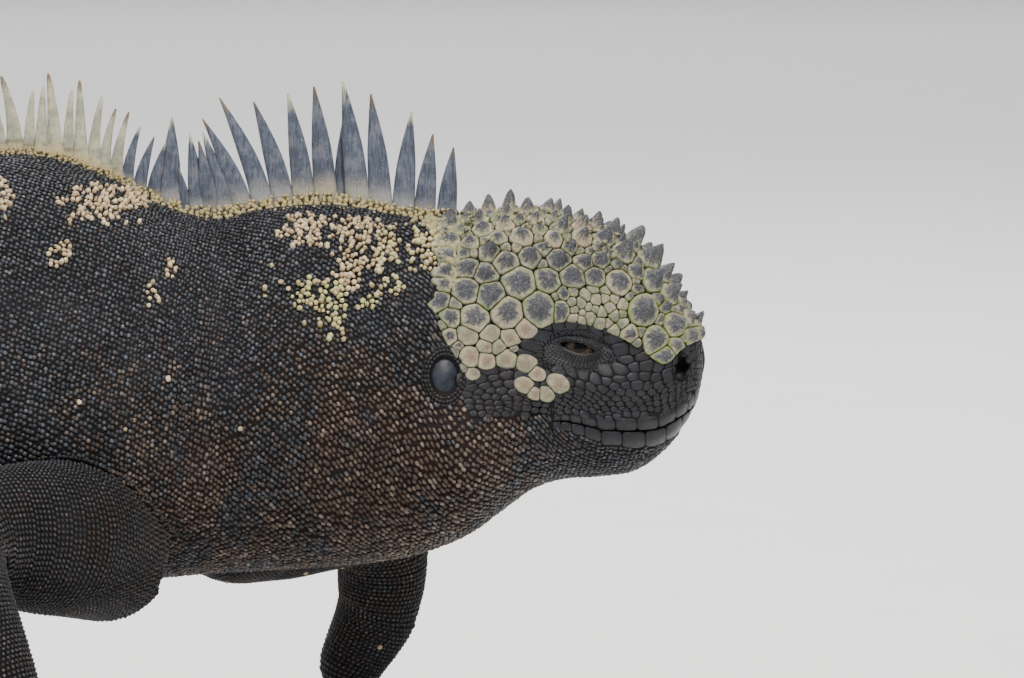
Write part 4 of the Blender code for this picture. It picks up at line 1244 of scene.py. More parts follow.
def root_weights(points):
    """How near each point of the skin is to a fold where a leg, palm or toe leaves what carries it."""
    weights = np.zeros(len(points))
    station = SNOUT_X - points[:, 0]
    share = np.zeros(len(points))
    half = points[:, 1] - SNOUT_Y
    rows = read_rows(BODY, station)
    wide, reach = rows[:, 3], np.where(points[:, 2] > rows[:, 3], rows[:, 0] - rows[:, 3], rows[:, 3] - rows[:, 1])
    share = np.hypot(half / rows[:, 2], (points[:, 2] - wide) / reach)
    body_away = np.abs(share - 1.0) * np.minimum(rows[:, 2], reach)
    for name, tube in State.tubes.items():
        if "_toe_" in name or "_palm" in name:
            continue
        low, high = tube.path.min(axis=0) - 40.0, tube.path.max(axis=0) + 40.0
        near = np.flatnonzero(((points > low) & (points < high)).all(axis=1))
        gaps = np.linalg.norm(points[near, None] - tube.path[None], axis=2)
        nearest = gaps.argmin(axis=1)
        leg_away = np.abs(gaps[np.arange(len(near)), nearest] - tube.radii[nearest].mean(axis=1))
        close = smooth_step(ROOT_BLEND, 0.0, np.maximum(leg_away, body_away[near]))
        weights[near] = np.maximum(weights[near], close)
    return weights


def soften_roots(body):
    """Rounds the folds at the legs' roots with a weighted smooth modifier."""
    points, _ = mesh_points(body)
    weights = root_weights(points)
    group = body.vertex_groups.new(name="roots")
    for level in (0.25, 0.5, 0.75, 1.0):
        chosen = np.flatnonzero((weights > level - 0.25) & (weights <= level))
        group.add([int(i) for i in chosen], level, "REPLACE")
    activate(body)
    bpy.ops.object.modifier_add(type="SMOOTH")
    change = body.modifiers[-1]
    change.factor = 0.5
    change.iterations = 24
    change.vertex_group = "roots"
    bpy.ops.object.modifier_apply(modifier=change.name)
    body.vertex_groups.clear()


def mesh_points(thing):
    """A mesh's points in millimetres, and their normals."""
    count = len(thing.data.vertices)
    points = np.zeros(count * 3, np.float32)
    normals = np.zeros(count * 3, np.float32)
    thing.data.vertices.foreach_get("co", points)
    thing.data.vertices.foreach_get("normal", normals)
    return points.reshape(-1, 3).astype(float) / MM, normals.reshape(-1, 3).astype(float)


FLESH = ("head", "lower_jaw", "neck", "chest", "belly", "pelvis", "tail_base", "tail_middle", "tail_rear")
FLESH += ("tail_tip",)
FLESH += tuple(f"{part}_{side}" for part in ("upper_arm", "forearm", "hand") for side in ("left", "right"))
FLESH += tuple(f"{part}_{side}" for part in ("thigh", "shank", "foot") for side in ("left", "right"))


def make_skin():
    """The skin over the whole animal."""
    prepare()
    body = body_mesh()
    join_legs(body)
    points, _ = mesh_points(body)
    _, rust, _ = body_marks(points)
    zeros = np.zeros(len(points))
    lay_marks(body.data, np.column_stack([zeros, rust, zeros]), np.column_stack([zeros, zeros, zeros]))
    body.data.shade_smooth()
    own(body, "skin", *FLESH)
    mesh = body.data
    mesh.calc_loop_triangles()
    corners = np.zeros(len(mesh.loop_triangles) * 3, np.int32)
    mesh.loop_triangles.foreach_get("vertices", corners)
    State.skin = body
    State.corners = points[corners.reshape(-1, 3)]
    State.search = BVHTree.FromPolygons(points.tolist(), corners.reshape(-1, 3).tolist(), all_triangles=True)


def settle(points, normals, buried=1.8):
    """Sets points down on the finished skin; returns them with the skin's ways out and which to keep."""
    kept = np.ones(len(points), bool)
    out, ways = points.copy(), normals.copy()
    for i, point in enumerate(points):
        place, way, _, distance = State.search.find_nearest(point)
        if distance > buried:
            kept[i] = False
            continue
        out[i] = place
        if np.dot(way, normals[i]) > 0:
            ways[i] = way
    return out, ways, kept


def near_legs(points, margin):
    """Which points lie near a leg."""
    near = np.zeros(len(points), bool)
    for tube in State.tubes.values():
        reach = tube.radii.max() + margin
        low, high = tube.path.min(axis=0) - reach, tube.path.max(axis=0) + reach
        near |= ((points > low) & (points < high)).all(axis=1)
    return near


def edge_height(station):
    """The height of the crown's lower edge."""
    return read_rows(CROWN_EDGE, station)[:, 0]


def on_crown(points):
    """Which points lie under the crown's shields."""
    station, height = SNOUT_X - points[:, 0], points[:, 2]
    edge = read_rows(CROWN_EDGE, station)[:, 0]
    return (station < CROWN_END) & (height > edge)


def scatter(p, q, seed):
    """A repeatable value from -1 to 1 for each place of a lattice."""
    return 2.0 * np.modf(np.abs(np.sin(p * 12.9898 + q * 78.233 + seed) * 43758.5453))[0] - 1.0


class RowChart:
    """Slanting rows of scales on one side of the body: one unit is a step along a row or between rows."""

    def __init__(self):
        hide = State.fine
        self.stations = np.linspace(BODY_FIELDS[0][0], BODY_FIELDS[-1][1], 4000)
        under, back, slope, stretch = read_rows(SCALE_WIDTHS, self.stations).T
        lean = np.hypot(1.0, slope)
        length = np.interp(self.stations, hide.stations, hide.flank)
        pace = (under + back) / 2 * stretch / lean
        steps = np.diff(length) / ((pace[1:] + pace[:-1]) / 2)
        self.along = np.concatenate([[0.0], np.cumsum(steps)])
        self.tilt = slope * stretch / (ROW_PITCH * lean**2)
        climb = steps * (self.tilt[1:] + self.tilt[:-1]) / 2
        self.climb = np.concatenate([[0.0], np.cumsum(climb)])
        self.half = hide.girth(self.stations) / 2
        self.under = under * ROW_PITCH * lean
        self.grow = (back - under) * ROW_PITCH * lean / self.half
        self.tall = np.log1p(self.grow * self.half / self.under) / self.grow

    def place(self, u, v, side):
        """Stations, shares, points of the skin and its ways out at places of the chart."""
        station = np.interp(u, self.along, self.stations)
        held = (self.under, self.grow, self.half)
        under, grow, half = [np.interp(station, self.stations, values) for values in held]
        share = 0.5 - 0.5 * under * np.expm1(grow * v) / (grow * half)
        share = share if side > 0 else 1.0 - share
        return station, share, *State.fine.at(station, share)

    def spread(self, u, v, side, points):
        """The way along a row at each scale, and the steps along the row and to the next row."""
        step = 0.4
        tilt = np.interp(u, self.along, self.tilt)
        ahead = (self.place(u + step, v + step * tilt, side)[2] - points) / step
        above = (self.place(u, v + step, side)[2] - points) / step
        along = np.maximum(np.linalg.norm(ahead, axis=1), 0.3)
        ahead = ahead / along[:, None]
        above = above - ahead * np.einsum("ij,ij->i", above, ahead)[:, None]
        return ahead, np.clip(along, 0.6, 3.8), np.clip(np.linalg.norm(above, axis=1), 0.6, 3.2)

    def field(self, first, last):
        """Chart places of the scales between two stations."""
        low, high = np.interp([first, last], self.stations, self.along)
        floor, roof = np.interp([low, high], self.along, self.climb)
        rows = np.arange(int(-roof) - 2, int(self.tall.max() - floor) + 3)
        columns = np.arange(int(low) - 1, int(high) + 2)
        p, q = [a.ravel().astype(float) for a in np.meshgrid(columns, rows, indexing="ij")]
        start = (0.5 * (q % 2) - ROW_SHIFT * q + 0.12 * scatter(0 * q, q, 3.0)) % 1.0
        u = p + start + STRAY * scatter(p, q, 1.0)
        v = q + np.interp(u, self.along, self.climb) + STRAY * scatter(p, q, 2.0)
        v = v + ROW_WANDER * ripple(np.column_stack([u, v, 0 * u]), 11.0, 8)
        held = (u >= low) & (u < high) & (v > 0.1) & (v < np.interp(u, self.along, self.tall) - 0.1)
        return u[held], v[held]


def lip_taper(station):
    """How much of their full height the plates of the lips have at a station."""
    return np.interp(station, (19.0, MOUTH_CORNER), (1.0, 0.4))


def free_of_forms(points, station):
    """Which scales stand clear of the shields, plates, lids, drums, nostrils and the mouth."""
    height = points[:, 2]
    side = np.abs(points[:, 1] - SNOUT_Y)
    free = ~on_crown(points)
    mouth = np.interp(station, MOUTH_STATIONS, MOUTH_HEIGHTS)
    taper = lip_taper(station)
    upper, lower = (LABIAL_HEIGHT + 0.2) * taper, CHIN_HEIGHT * taper
    free &= ~((station < MOUTH_CORNER + 0.6) & (height < mouth + upper) & (height > mouth - lower))
    nose = np.hypot((station - NOSTRIL_STATION) / 2.1, (height - NOSTRIL_HEIGHT) / 3.0)
    ear = np.hypot((station - EAR_STATION) / EAR_HALF_LENGTH, (height - EAR_HEIGHT) / EAR_HALF_HEIGHT)
    free &= (nose > 1.0) & (ear > 1.72)
    eye = np.hypot((station - EYE_STATION) / ORBIT_HALF_LENGTH, (height - EYE_HEIGHT) / ORBIT_HALF_HEIGHT)
    free &= (eye > 0.97) | (side < 8.0)
    for place, level, radius in TEMPLE_PLATES:
        free &= np.hypot(station - place, height - level) > radius * 0.95
    face = (station < FACE_END) & (height > mouth + LABIAL_HEIGHT * taper) & (side > 5.0)
    return free & ~face


LABIAL_HEIGHT = 3.9
CHIN_HEIGHT = 5.1
ORBIT_HALF_LENGTH = 13.0
ORBIT_HALF_HEIGHT = 6.4
FACE_END = 66.0


def sparse_tones(chance, count):
    """How light the scales are: most dark, a few bright."""
    return np.where(chance.uniform(0, 1, count) < 0.12, chance.uniform(0.4, 1.0, count), chance.beta(1.3, 5.0, count))


def make_field(name, chart, first, last, side, shape, finish):
    """One piece of small scales between two stations on one side of the body."""
    u, v = chart.field(first, last)
    station, share, points, normals = chart.place(u, v, side)
    heads, long, wide = chart.spread(u, v, side, points)
    away = np.minimum(share, 1.0 - share) * State.fine.girth(station)
    held = free_of_forms(points, station) & (away > CREST_STRIP)
    near = np.flatnonzero(held & near_legs(points, 16.0))
    if len(near):
        points[near], normals[near], held[near] = settle(points[near], normals[near], 3.2)
    station, share, long, wide, away = [a[held] for a in (station, share, long, wide, away)]
    points, normals, heads = points[held], normals[held], heads[held]
    count = len(points)
    chance = np.random.default_rng(23 + int(first) + side)
    salt, rust, green = body_marks(points)
    crumbs = ripple(points, 1.1, 9) + chance.uniform(-0.5, 0.5, count)
    bare = smooth_step(150.0, 140.0, station) * (9.0 + 1.6 * crumbs)
    salted = (salt > 0.5) & (crumbs > SALT_GAPS) & (away > bare)
    salted |= (chance.uniform(0.0, 1.0, count) < SALT_SPRINKLE) & (points[:, 2] > 100.0)
    rusty = np.clip(2.2 * rust + chance.uniform(-0.75, 0.4, count), 0.0, 1.0)
    tones = np.where(salted, chance.uniform(0.0, 1.0, count), sparse_tones(chance, count))
    width = np.sqrt(long * wide)
    round_crumb = salted * smooth_step(160.0, 150.0, station)
    grow = np.where(salted, chance.uniform(0.7, 1.3, count), chance.uniform(0.84, 1.14, count))
    along = (0.6 * long * (1 - round_crumb) + 0.56 * width * round_crumb) * grow
    across = (0.52 * wide * (1 - round_crumb) + 0.56 * width * round_crumb) * grow
    rise = np.where(salted, chance.uniform(0.8, 1.7, count), SCALE_RISE * chance.uniform(0.8, 1.2, count))
    stray = chance.normal(size=(count, 3)) * (0.16 * round_crumb)[:, None]
    points = points + stray - normals * np.einsum("ij,ij->i", stray, normals)[:, None]
    turned = chance.normal(size=(count, 3)) * (1.5 * round_crumb)[:, None]
    heads = heads + turned
    normals = normals + chance.normal(size=(count, 3)) * np.where(salted, 0.35, 0.11)[:, None]
    normals /= np.linalg.norm(normals, axis=1, keepdims=True)
    marks = np.column_stack([salted * 1.0, rusty, green])
    sizes = np.column_stack([along, across, width * rise])
    made = stamp(name, shape, points, normals, heads, sizes, marks, tones, body_map(station, share), finish, -0.12)
    State.placed.append(points)
    return own(made, "skin")


BODY_FIELDS = ((0.6, 82.0), (82.0, 118.0), (118.0, 160.0), (160.0, 235.0), (235.0, 345.0), (345.0, 470.0))
CREST_STRIP = 1.3
SALT_GAPS = -0.7
SCALE_RISE = 0.46


def make_body_scales():
    """Small scales over the head's sides, the neck and the trunk."""
    finish = material("scales", scale_finish)
    chart = RowChart()
    pebble = read_mesh_shape(5, 0.74, 0.64, 0.9)
    plain = read_mesh_shape(4, 0.7, 0.66, 0.9)
    for number, (first, last) in enumerate(BODY_FIELDS):
        shape = pebble if last < 240.0 else plain
        for side, word in ((LEFT, "left"), (RIGHT, "right")):
            make_field(f"scales_{number + 1}_{word}", chart, first, last, side, shape, finish)


def make_tail_scales():
    """Keeled scales in rings round the tail."""
    finish = material("scales", scale_finish)
    shape = read_keel_shape()
    hide = State.fine
    chance = np.random.default_rng(31)
    for number, (first, last) in enumerate(((469.0, 700.0), (700.0, 1048.0))):
        rows = []
        station = first
        while station < last:
            share = (station - 469.0) / (1048.0 - 469.0)
            pitch = 3.6 - 1.6 * share
            width = 2.9 - 1.2 * share
            girth = float(hide.girth(station))
            count = max(8, round(girth / width))
            around = (np.arange(count) + 0.5 * (len(rows) % 2)) / count
            rows.append(np.column_stack([np.full(count, station), around, np.full(count, pitch), np.full(count, girth / count)]))
            station += pitch
        station, share, pitch, width = np.vstack(rows).T
        points, normals = hide.at(station, share)
        held = np.minimum(share, 1 - share) * hide.girth(station) > 0.8
        station, share, pitch, width, points, normals = [
            a[held] for a in (station, share, pitch, width, points, normals)
        ]
        near = np.flatnonzero(near_legs(points, 10.0))
        if len(near):
            points[near], normals[near], kept = settle(points[near], normals[near])
        _, _, turned = backbone(station)
        heads = np.column_stack([-np.cos(turned), np.sin(turned), np.zeros(len(turned))])
        _, rust, _ = body_marks(points)
        tones = chance.beta(1.5, 4.0, len(points))
        marks = np.column_stack([np.zeros(len(points)), rust * 0.6, np.zeros(len(points))])
        sizes = np.column_stack([pitch * 0.5, width * 0.46, np.full(len(points), 0.75)])
        bake = body_map(station, share)
        made = stamp(f"tail_scales_{number + 1}", shape, points, normals, heads, sizes, marks, tones, bake, finish, -0.15)
        own(made, "skin")


TOE_SCALE = 1.45
FORE_SCALE = 1.5
HIND_SCALE = 1.85


def make_leg_scales():
    """Small scales over the legs, hands, feet and toes."""
    finish = material("scales", scale_finish)
    pebble = read_bead_shape(6)
    chance = np.random.default_rng(41)
    for leg in LEGS:
        kept_all = []
        for name, tube in State.tubes.items():
            if not name.startswith(leg):
                continue
            toe = "_toe_" in name
            width = TOE_SCALE if toe else FORE_SCALE if leg.endswith("fore") else HIND_SCALE
            rows = max(3, round(tube.length / (width * 0.86)))
            blocks = []
            for row in range(rows):
                share = (row + 0.5) / rows
                radii = tube.read(tube.radii, np.array([share]))[0]
                girth = TAU * radii.mean()
                count = max(6, round(girth / width))
                turn = (np.arange(count) + 0.5 * (row % 2)) / count
                blocks.append(np.column_stack([np.full(count, share), turn, np.full(count, girth / count)]))
            share, turn, local = np.vstack(blocks).T
            points, normals = tube.at(share, turn, SKIN_DEPTH)
            points, normals, kept = settle(points, normals)
            heads = tube.read(tube.along, share)
            bake = leg_map(tube.number, share, turn)
            kept &= points[:, 2] > 0.2
            kept_all.append([a[kept] for a in (points, normals, heads, local, bake)])
        points, normals, heads, local, bake = [np.concatenate(parts) for parts in zip(*kept_all)]
        salt, rust, green = body_marks(points)
        tones = chance.beta(1.5, 4.5, len(points))
        salted = chance.uniform(0.0, 1.0, len(points)) < SALT_SPRINKLE * 0.7
        rusty = np.clip(1.5 * rust + chance.uniform(-0.9, 0.3, len(points)), 0.0, 1.0)
        marks = np.column_stack([salted * 1.0, rusty, green])
        grow = chance.uniform(0.9, 1.1, len(points)) * np.where(salted, 1.3, 1.0)
        sizes = np.column_stack([local * 0.6 * grow, local * 0.62 * grow, local * 0.4 * grow])
        made = stamp(f"scales_{leg}", pebble, points, normals, heads, sizes, marks, tones, bake, finish, -0.12)
        State.placed.append(points)
        own(made, "skin")


ROOT_GAP = 1.15


def make_root_scales():
    """Small scales where neither the body's rows nor the legs' rings reach, round the legs' roots."""
    finish = material("scales", scale_finish)
    chance = np.random.default_rng(83)
    corners = State.corners
    middles = corners.mean(axis=1)
    station = SNOUT_X - middles[:, 0]
    held = near_legs(middles, 14.0) & (station > 90.0) & (station < 470.0) & (middles[:, 2] > 3.0)
    corners = corners[held]
    crossed = np.cross(corners[:, 1] - corners[:, 0], corners[:, 2] - corners[:, 0])
    size = np.linalg.norm(crossed, axis=1)
    chosen = chance.choice(len(corners), ROOT_TRIES, p=size / size.sum())
    a, b = chance.uniform(0.0, 1.0, (2, ROOT_TRIES, 1))
    a, b = np.where(a + b > 1.0, 1.0 - a, a), np.where(a + b > 1.0, 1.0 - b, b)
    first = corners[chosen, 0]
    points = first + a * (corners[chosen, 1] - first) + b * (corners[chosen, 2] - first)
    normals = crossed[chosen] / size[chosen, None]
    placed = np.concatenate(State.placed)
    tree = KDTree(len(placed) + ROOT_TRIES)
    for number, point in enumerate(placed):
        tree.insert(point, number)
    tree.balance()
    far = np.array([tree.find(point)[2] > ROOT_GAP for point in points])
    points, normals = points[far], normals[far]
    cells, kept = {}, []
    for number, point in enumerate(points):
        cell = tuple(np.floor(point / ROOT_GAP).astype(int))
        around = [
            other
            for i in (-1, 0, 1) for j in (-1, 0, 1) for k in (-1, 0, 1)
            for other in cells.get((cell[0] + i, cell[1] + j, cell[2] + k), ())
        ]
        if all(np.linalg.norm(points[other] - point) > ROOT_GAP for other in around):
            cells.setdefault(cell, []).append(number)
            kept.append(number)
    points, normals = points[kept], normals[kept]
    count = len(points)
    _, rust, green = body_marks(points)
    rusty = np.clip(1.5 * rust + chance.uniform(-0.9, 0.3, count), 0.0, 1.0)
    marks = np.column_stack([np.zeros(count), rusty, green])
    sizes = np.column_stack([np.full(count, 0.95), np.full(count, 0.85), np.full(count, 0.5)])
    share = (np.arctan2(points[:, 1] - SNOUT_Y, points[:, 2] - 60.0) / TAU) % 1.0
    bake = body_map(np.clip(SNOUT_X - points[:, 0], 0.0, TAIL_TIP), share)
    heads = np.tile([1.0, 0.2, 0.35], (count, 1))
    tones = sparse_tones(chance, count)
    made = stamp("scales_roots", read_bead_shape(6), points, normals, heads, sizes, marks, tones, bake, finish, -0.12)
    own(made, "skin")


ROOT_TRIES = 60000


def chart_frames(chart, places):
    """The body's points and tangents at places of a chart, and what turns lengths there into the chart's."""
    step = 0.05
    here, _ = chart(places)
    ways = []
    for move in ((step, 0.0), (0.0, step)):
        ways.append((chart(places + move)[0] - chart(places - move)[0]) / (2 * step))
    first = ways[0] / np.linalg.norm(ways[0], axis=1, keepdims=True)
    second = ways[1] - first * np.einsum("ij,ij->i", ways[1], first)[:, None]
    second /= np.linalg.norm(second, axis=1, keepdims=True)
    frame_ways = np.stack([first, second], axis=1)
    matrix = np.einsum("nik,njk->nij", frame_ways, np.stack(ways, axis=1))
    return here, frame_ways, np.linalg.inv(matrix)


def true_size(chart, places):
    """A way of laying small outlines on the body true to size round places of a chart."""
    here, ways, inverse = chart_frames(chart, places)

    def lay(offsets):
        flat = places[:, None] + np.einsum("nij,nkj->nki", inverse, offsets)
        for _ in range(3):
            flat[..., 0] = np.maximum(flat[..., 0], 0.02)
            points, _ = chart(flat.reshape(-1, 2))
            apart = points.reshape(offsets.shape[0], offsets.shape[1], 3) - here[:, None]
            missed = offsets - np.einsum("nij,nkj->nki", ways, apart)
            flat = flat + np.einsum("nij,nkj->nki", inverse, np.clip(missed, -0.8, 0.8))
        flat[..., 0] = np.maximum(flat[..., 0], 0.02)
        return chart(flat.reshape(-1, 2))

    return lay


def mosaic(places, radii, angles, reach, sharp=14.0, frames=None):
    """The outlines of a mosaic's cells as radii at the given angles, rounded at their corners."""
    count = len(places)
    ways = np.column_stack([np.cos(angles), np.sin(angles)])
    out = np.zeros((count, len(angles)))
    for i in range(count):
        if frames is None:
            apart = places - places[i]
            gaps = np.linalg.norm(apart, axis=1)
        else:
            straight = frames[0] - frames[0][i]
            gaps = np.linalg.norm(straight, axis=1)
            apart = straight @ frames[1][i].T
            apart *= (gaps / (np.linalg.norm(apart, axis=1) + 1e-9))[:, None]
        near = np.flatnonzero((gaps > 1e-6) & (gaps < 2.4 * (radii[i] + radii)))
        gap = gaps[near]
        cut = np.clip((gap**2 + radii[i] ** 2 - radii[near] ** 2) / (2 * gap), 0.15 * gap, None)
        lean = np.clip(ways @ (apart[near] / gap[:, None]).T, 0.0, None) / cut
        sums = (lean**sharp).sum(axis=1) + (1.0 / (reach * radii[i])) ** sharp
        out[i] = sums ** (-1.0 / sharp)
    return out


# The section of a plate from its foot to its middle: share of the way in, and height over the rim's.
PLATE_SECTION = ((0.0, -1.0), (0.012, 0.3), (0.05, 0.78), (0.11, 0.98), (0.2, 1.04))
SMALL_SECTION = ((0.0, -1.0), (0.03, 0.45), (0.16, 0.97))
FLAT_SECTION = ((0.0, -1.0), (0.025, 0.55), (0.1, 0.95))


def plate_piece(
    name, chart, places, outline, cones, rims, leans, marks, tones, finish, sides, seed,
    flutes=0.0, profile=SMALL_SECTION, inner_rings=2, blunt=0.0, lay=None,
):
    """Plates on the body: each rises from its outline to a rim and then to a conical middle."""
    count = len(places)
    angles = np.arange(sides) / sides * TAU
    chance = np.random.default_rng(seed)
    section = [row[0] for row in profile]
    levels = [row[1] for row in profile]
    inner = np.linspace(profile[-1][0], 1.0, inner_rings + 1)[1:]
    shares = np.concatenate([section, inner])
    wobble = chance.uniform(0, TAU, (count, 3))
    ring_points, ring_rise = [], []
    mean = outline.mean(axis=1, keepdims=True)
    for number, share in enumerate(shares):
        blend = smooth_step(0.15, 0.8, share)
        ribs = 1.0 + flutes * np.sin(5 * angles[None] + wobble[:, :1]) * 4 * share * (1 - share)
        ribs += flutes * 0.7 * np.sin(8 * angles[None] + wobble[:, 1:2]) * 4 * share * (1 - share)
        radius = (outline * (1 - blend) + mean * blend) * (1 - share) * ribs
        offsets = np.stack([np.cos(angles), np.sin(angles)], axis=1)[None] * radius[:, :, None]
        points, normals = lay(offsets) if lay else chart((places[:, None] + offsets).reshape(-1, 2))
        if number < len(levels):
            level = levels[number] * rims
            extra = np.zeros(count)
        else:
            level = levels[-1] * rims
            up = (share - profile[-1][0]) / (1 - profile[-1][0])
            flared = 0.45 * up**1.3 + 0.55 * float(smooth_step(0.05, 0.98, up))
            horn = 1.0 - (1.0 - up) ** 1.7
            extra = cones * ((1.0 - blunt) * flared + blunt * horn)
        height = np.repeat(level + extra, sides)[:, None]
        lean = np.repeat(leans * extra[:, None], sides, axis=0)
        uneven = 1.0 + 0.05 * ripple(points, 0.8, seed) * (share > 0.05)
        ring_points.append((points + normals * height * uneven[:, None] + lean).reshape(count, sides, 3))
        ring_rise.append(np.full((count, sides), share))
    rings = len(shares) - 1
    body = np.stack(ring_points[:rings], axis=1).reshape(count, rings * sides, 3)
    tip = ring_points[-1].mean(axis=1, keepdims=True)
    floor = ring_points[0].mean(axis=1, keepdims=True)
    points = np.concatenate([body, tip, floor], axis=1)
    total = rings * sides + 2
    column = np.arange(sides)
    onward = (column + 1) % sides
    walls = ring_faces(rings, sides)
    high = (rings - 1) * sides
    top = np.column_stack([high + column, high + onward, np.full(sides, rings * sides)])
    foot = np.column_stack([onward, column, np.full(sides, rings * sides + 1)])
    offsets = (np.arange(count) * total)[:, None, None]
    blocks = [(block[None] + offsets).reshape(-1, block.shape[1]) for block in (walls, np.vstack([top, foot]))]
    rise = np.concatenate([np.stack(ring_rise[:rings], axis=1).reshape(count, -1), np.ones((count, 1)), np.zeros((count, 1))], axis=1)
    flat_points = points.reshape(-1, 3)
    station = SNOUT_X - flat_points[:, 0]
    side = flat_points[:, 1] - SNOUT_Y
    share = (np.arctan2(side, flat_points[:, 2] - 108.0) / TAU) % 1.0
    bake = body_map(np.clip(station, 0.0, TAIL_TIP), share)
    made = new_piece(name, flat_points, blocks, finish, bake)
    streaks = np.tile(chance.uniform(0.0, 1.0, (count, sides)), (1, rings))
    streaks = np.concatenate([streaks, np.full((count, 2), 0.5)], axis=1)
    form = np.column_stack([rise.ravel(), np.repeat(tones, total), streaks.ravel()])
    lay_marks(made.data, np.repeat(marks, total, axis=0), form)
    return made


def crown_chart(flat):
    """Turns lengths along and across the crown into points of the head and the ways out of it."""
    hide = State.plain
    station = np.interp(flat[:, 0], hide.back, hide.stations)
    share = flat[:, 1] / hide.girth(station)
    return hide.at(station, share)


def crown_place(station, height, side):
    """The place on the crown's chart of a point given by station and height."""
    hide = State.plain
    share = hide.share_at(station, height, side)
    share = np.where(share > 0.5, share - 1.0, share)
    return np.column_stack([np.interp(station, hide.stations, hide.back), share * hide.girth(station)])


def fill_gaps(places, radii, candidates, sizes, tightness):
    """Adds candidates to the crown's middles in turn wherever the shields so far leave room for one."""
    start = len(places)
    spots = crown_chart(candidates)[0]
    bodies = list(crown_chart(np.array(places))[0])
    places, radii = list(places), list(radii)
    for candidate, spot, size in zip(candidates, spots, sizes):
        gap = (np.linalg.norm(np.array(bodies) - spot, axis=1) - np.array(radii)).min()
        if gap > size * tightness:
            places.append(candidate)
            bodies.append(spot)
            radii.append(size)
    return np.array(places), np.array(radii), list(range(start, len(places)))


def fill_rest(places, radii, candidates, smallest, largest):
    """Fills what is left between the shields with the largest small ones that still fit."""
    start = len(places)
    spots = crown_chart(candidates)[0]
    bodies = crown_chart(np.array(places))[0]
    places, radii = list(places), list(radii)
    gaps = (np.linalg.norm(spots[:, None] - bodies[None], axis=2) - np.array(radii)).min(axis=1)
    while gaps.max() > smallest:
        best = gaps.argmax()
        size = min(gaps[best], largest)
        places.append(candidates[best])
        radii.append(size)
        gaps = np.minimum(gaps, np.linalg.norm(spots - spots[best], axis=1) - size)
    return np.array(places), np.array(radii), list(range(start, len(places)))


def crown_seeds():
    """The middles, radii, cones and kinds of the crown's shields: 0 shields, 1 temple plates,
    2 granules, 3 cones along the middle."""
    chance = np.random.default_rng(7)
    hide = State.plain
    places, radii, cones, kinds = [], [], [], []
    for side in (RIGHT, LEFT):
        rows = np.array(FLANK_SHIELDS)
        plates = np.array(TEMPLE_PLATES)
        jitter = 0.0 if side == RIGHT else 0.6
        station = np.concatenate([rows[:, 0], plates[:, 0]])
        height = np.concatenate([rows[:, 1], plates[:, 1]])
        shift = chance.uniform(-jitter, jitter, (len(station), 2))
        places.append(crown_place(station + shift[:, 0], height + shift[:, 1], side))
        radii.append(np.concatenate([rows[:, 2], plates[:, 2]]))
        cones.append(np.concatenate([rows[:, 3], np.full(len(plates), 0.55)]))
        kinds.append(np.concatenate([np.zeros(len(rows)), np.ones(len(plates))]))
    ridge = np.array(RIDGE_CONES)
    along = np.interp(ridge[:, 0], hide.stations, hide.back)
    places.append(np.column_stack([along, chance.uniform(-0.8, 0.8, len(ridge))]))
    radii.append(ridge[:, 1])
    cones.append(ridge[:, 2])
    kinds.append(np.full(len(ridge), 3.0))
    places, radii, cones, kinds = [np.concatenate(a) for a in (places, radii, cones, kinds)]
    end = np.interp(CROWN_END, hide.stations, hide.back)
    for step, (low, high) in enumerate((GRANULE_RADII, SHIELD_RADII, (SMALLEST_SHIELD, SHIELD_RADII[0]))):
        count = 9000
        along = chance.uniform(0.5, end, count)
        girth = hide.girth(np.interp(along, hide.back, hide.stations))
        spots = np.column_stack([along, chance.uniform(-0.42, 0.42, count) * girth])
        sizes = chance.uniform(low, high, count)
        fine = in_granules(spots)
        points, _ = crown_chart(spots)
        station, height = SNOUT_X - points[:, 0], points[:, 2]
        edge = read_rows(CROWN_EDGE, station)[:, 0]
        margin = np.where(step == 2, 0.5, sizes * 0.7)
        held = (height > edge + margin) & (station < CROWN_END - margin)
        if step < 2:
            held &= fine == (step == 0)
            places, radii, added = fill_gaps(places, radii, spots[held], sizes[held], 0.9)
        else:
            places, radii, added = fill_rest(places, radii, spots[held], low * 0.8, high)
        new = places[added]
        away = np.abs(new[:, 1])
        tall = np.interp(away, (0.0, 9.0, 20.0), (3.9, 3.4, 2.2)) * chance.uniform(0.7, 1.2, len(new))
        tall *= np.clip(radii[added] / 3.0, 0.0, 1.1)
        ahead = SNOUT_X - crown_chart(new)[0][:, 0]
        tall *= np.interp(ahead, (2.0, 12.0), (0.35, 1.0)) * np.interp(ahead, (40.0, 48.0), (1.0, 0.8))
        fine = in_granules(new)
        cones = np.append(cones, np.where(fine, 0.4, tall))
        kinds = np.append(kinds, np.where(fine, 2.0, 0.0))
    return places, radii, cones, kinds


def in_granules(spots):
    """Which places of the crown's chart lie in the patch of granules above an eye."""
    points, _ = crown_chart(spots)
    station, height = SNOUT_X - points[:, 0], points[:, 2]
    place, level, half_length, half_height = GRANULE_PATCH
    return np.hypot((station - place) / half_length, (height - level) / half_height) < 1.0


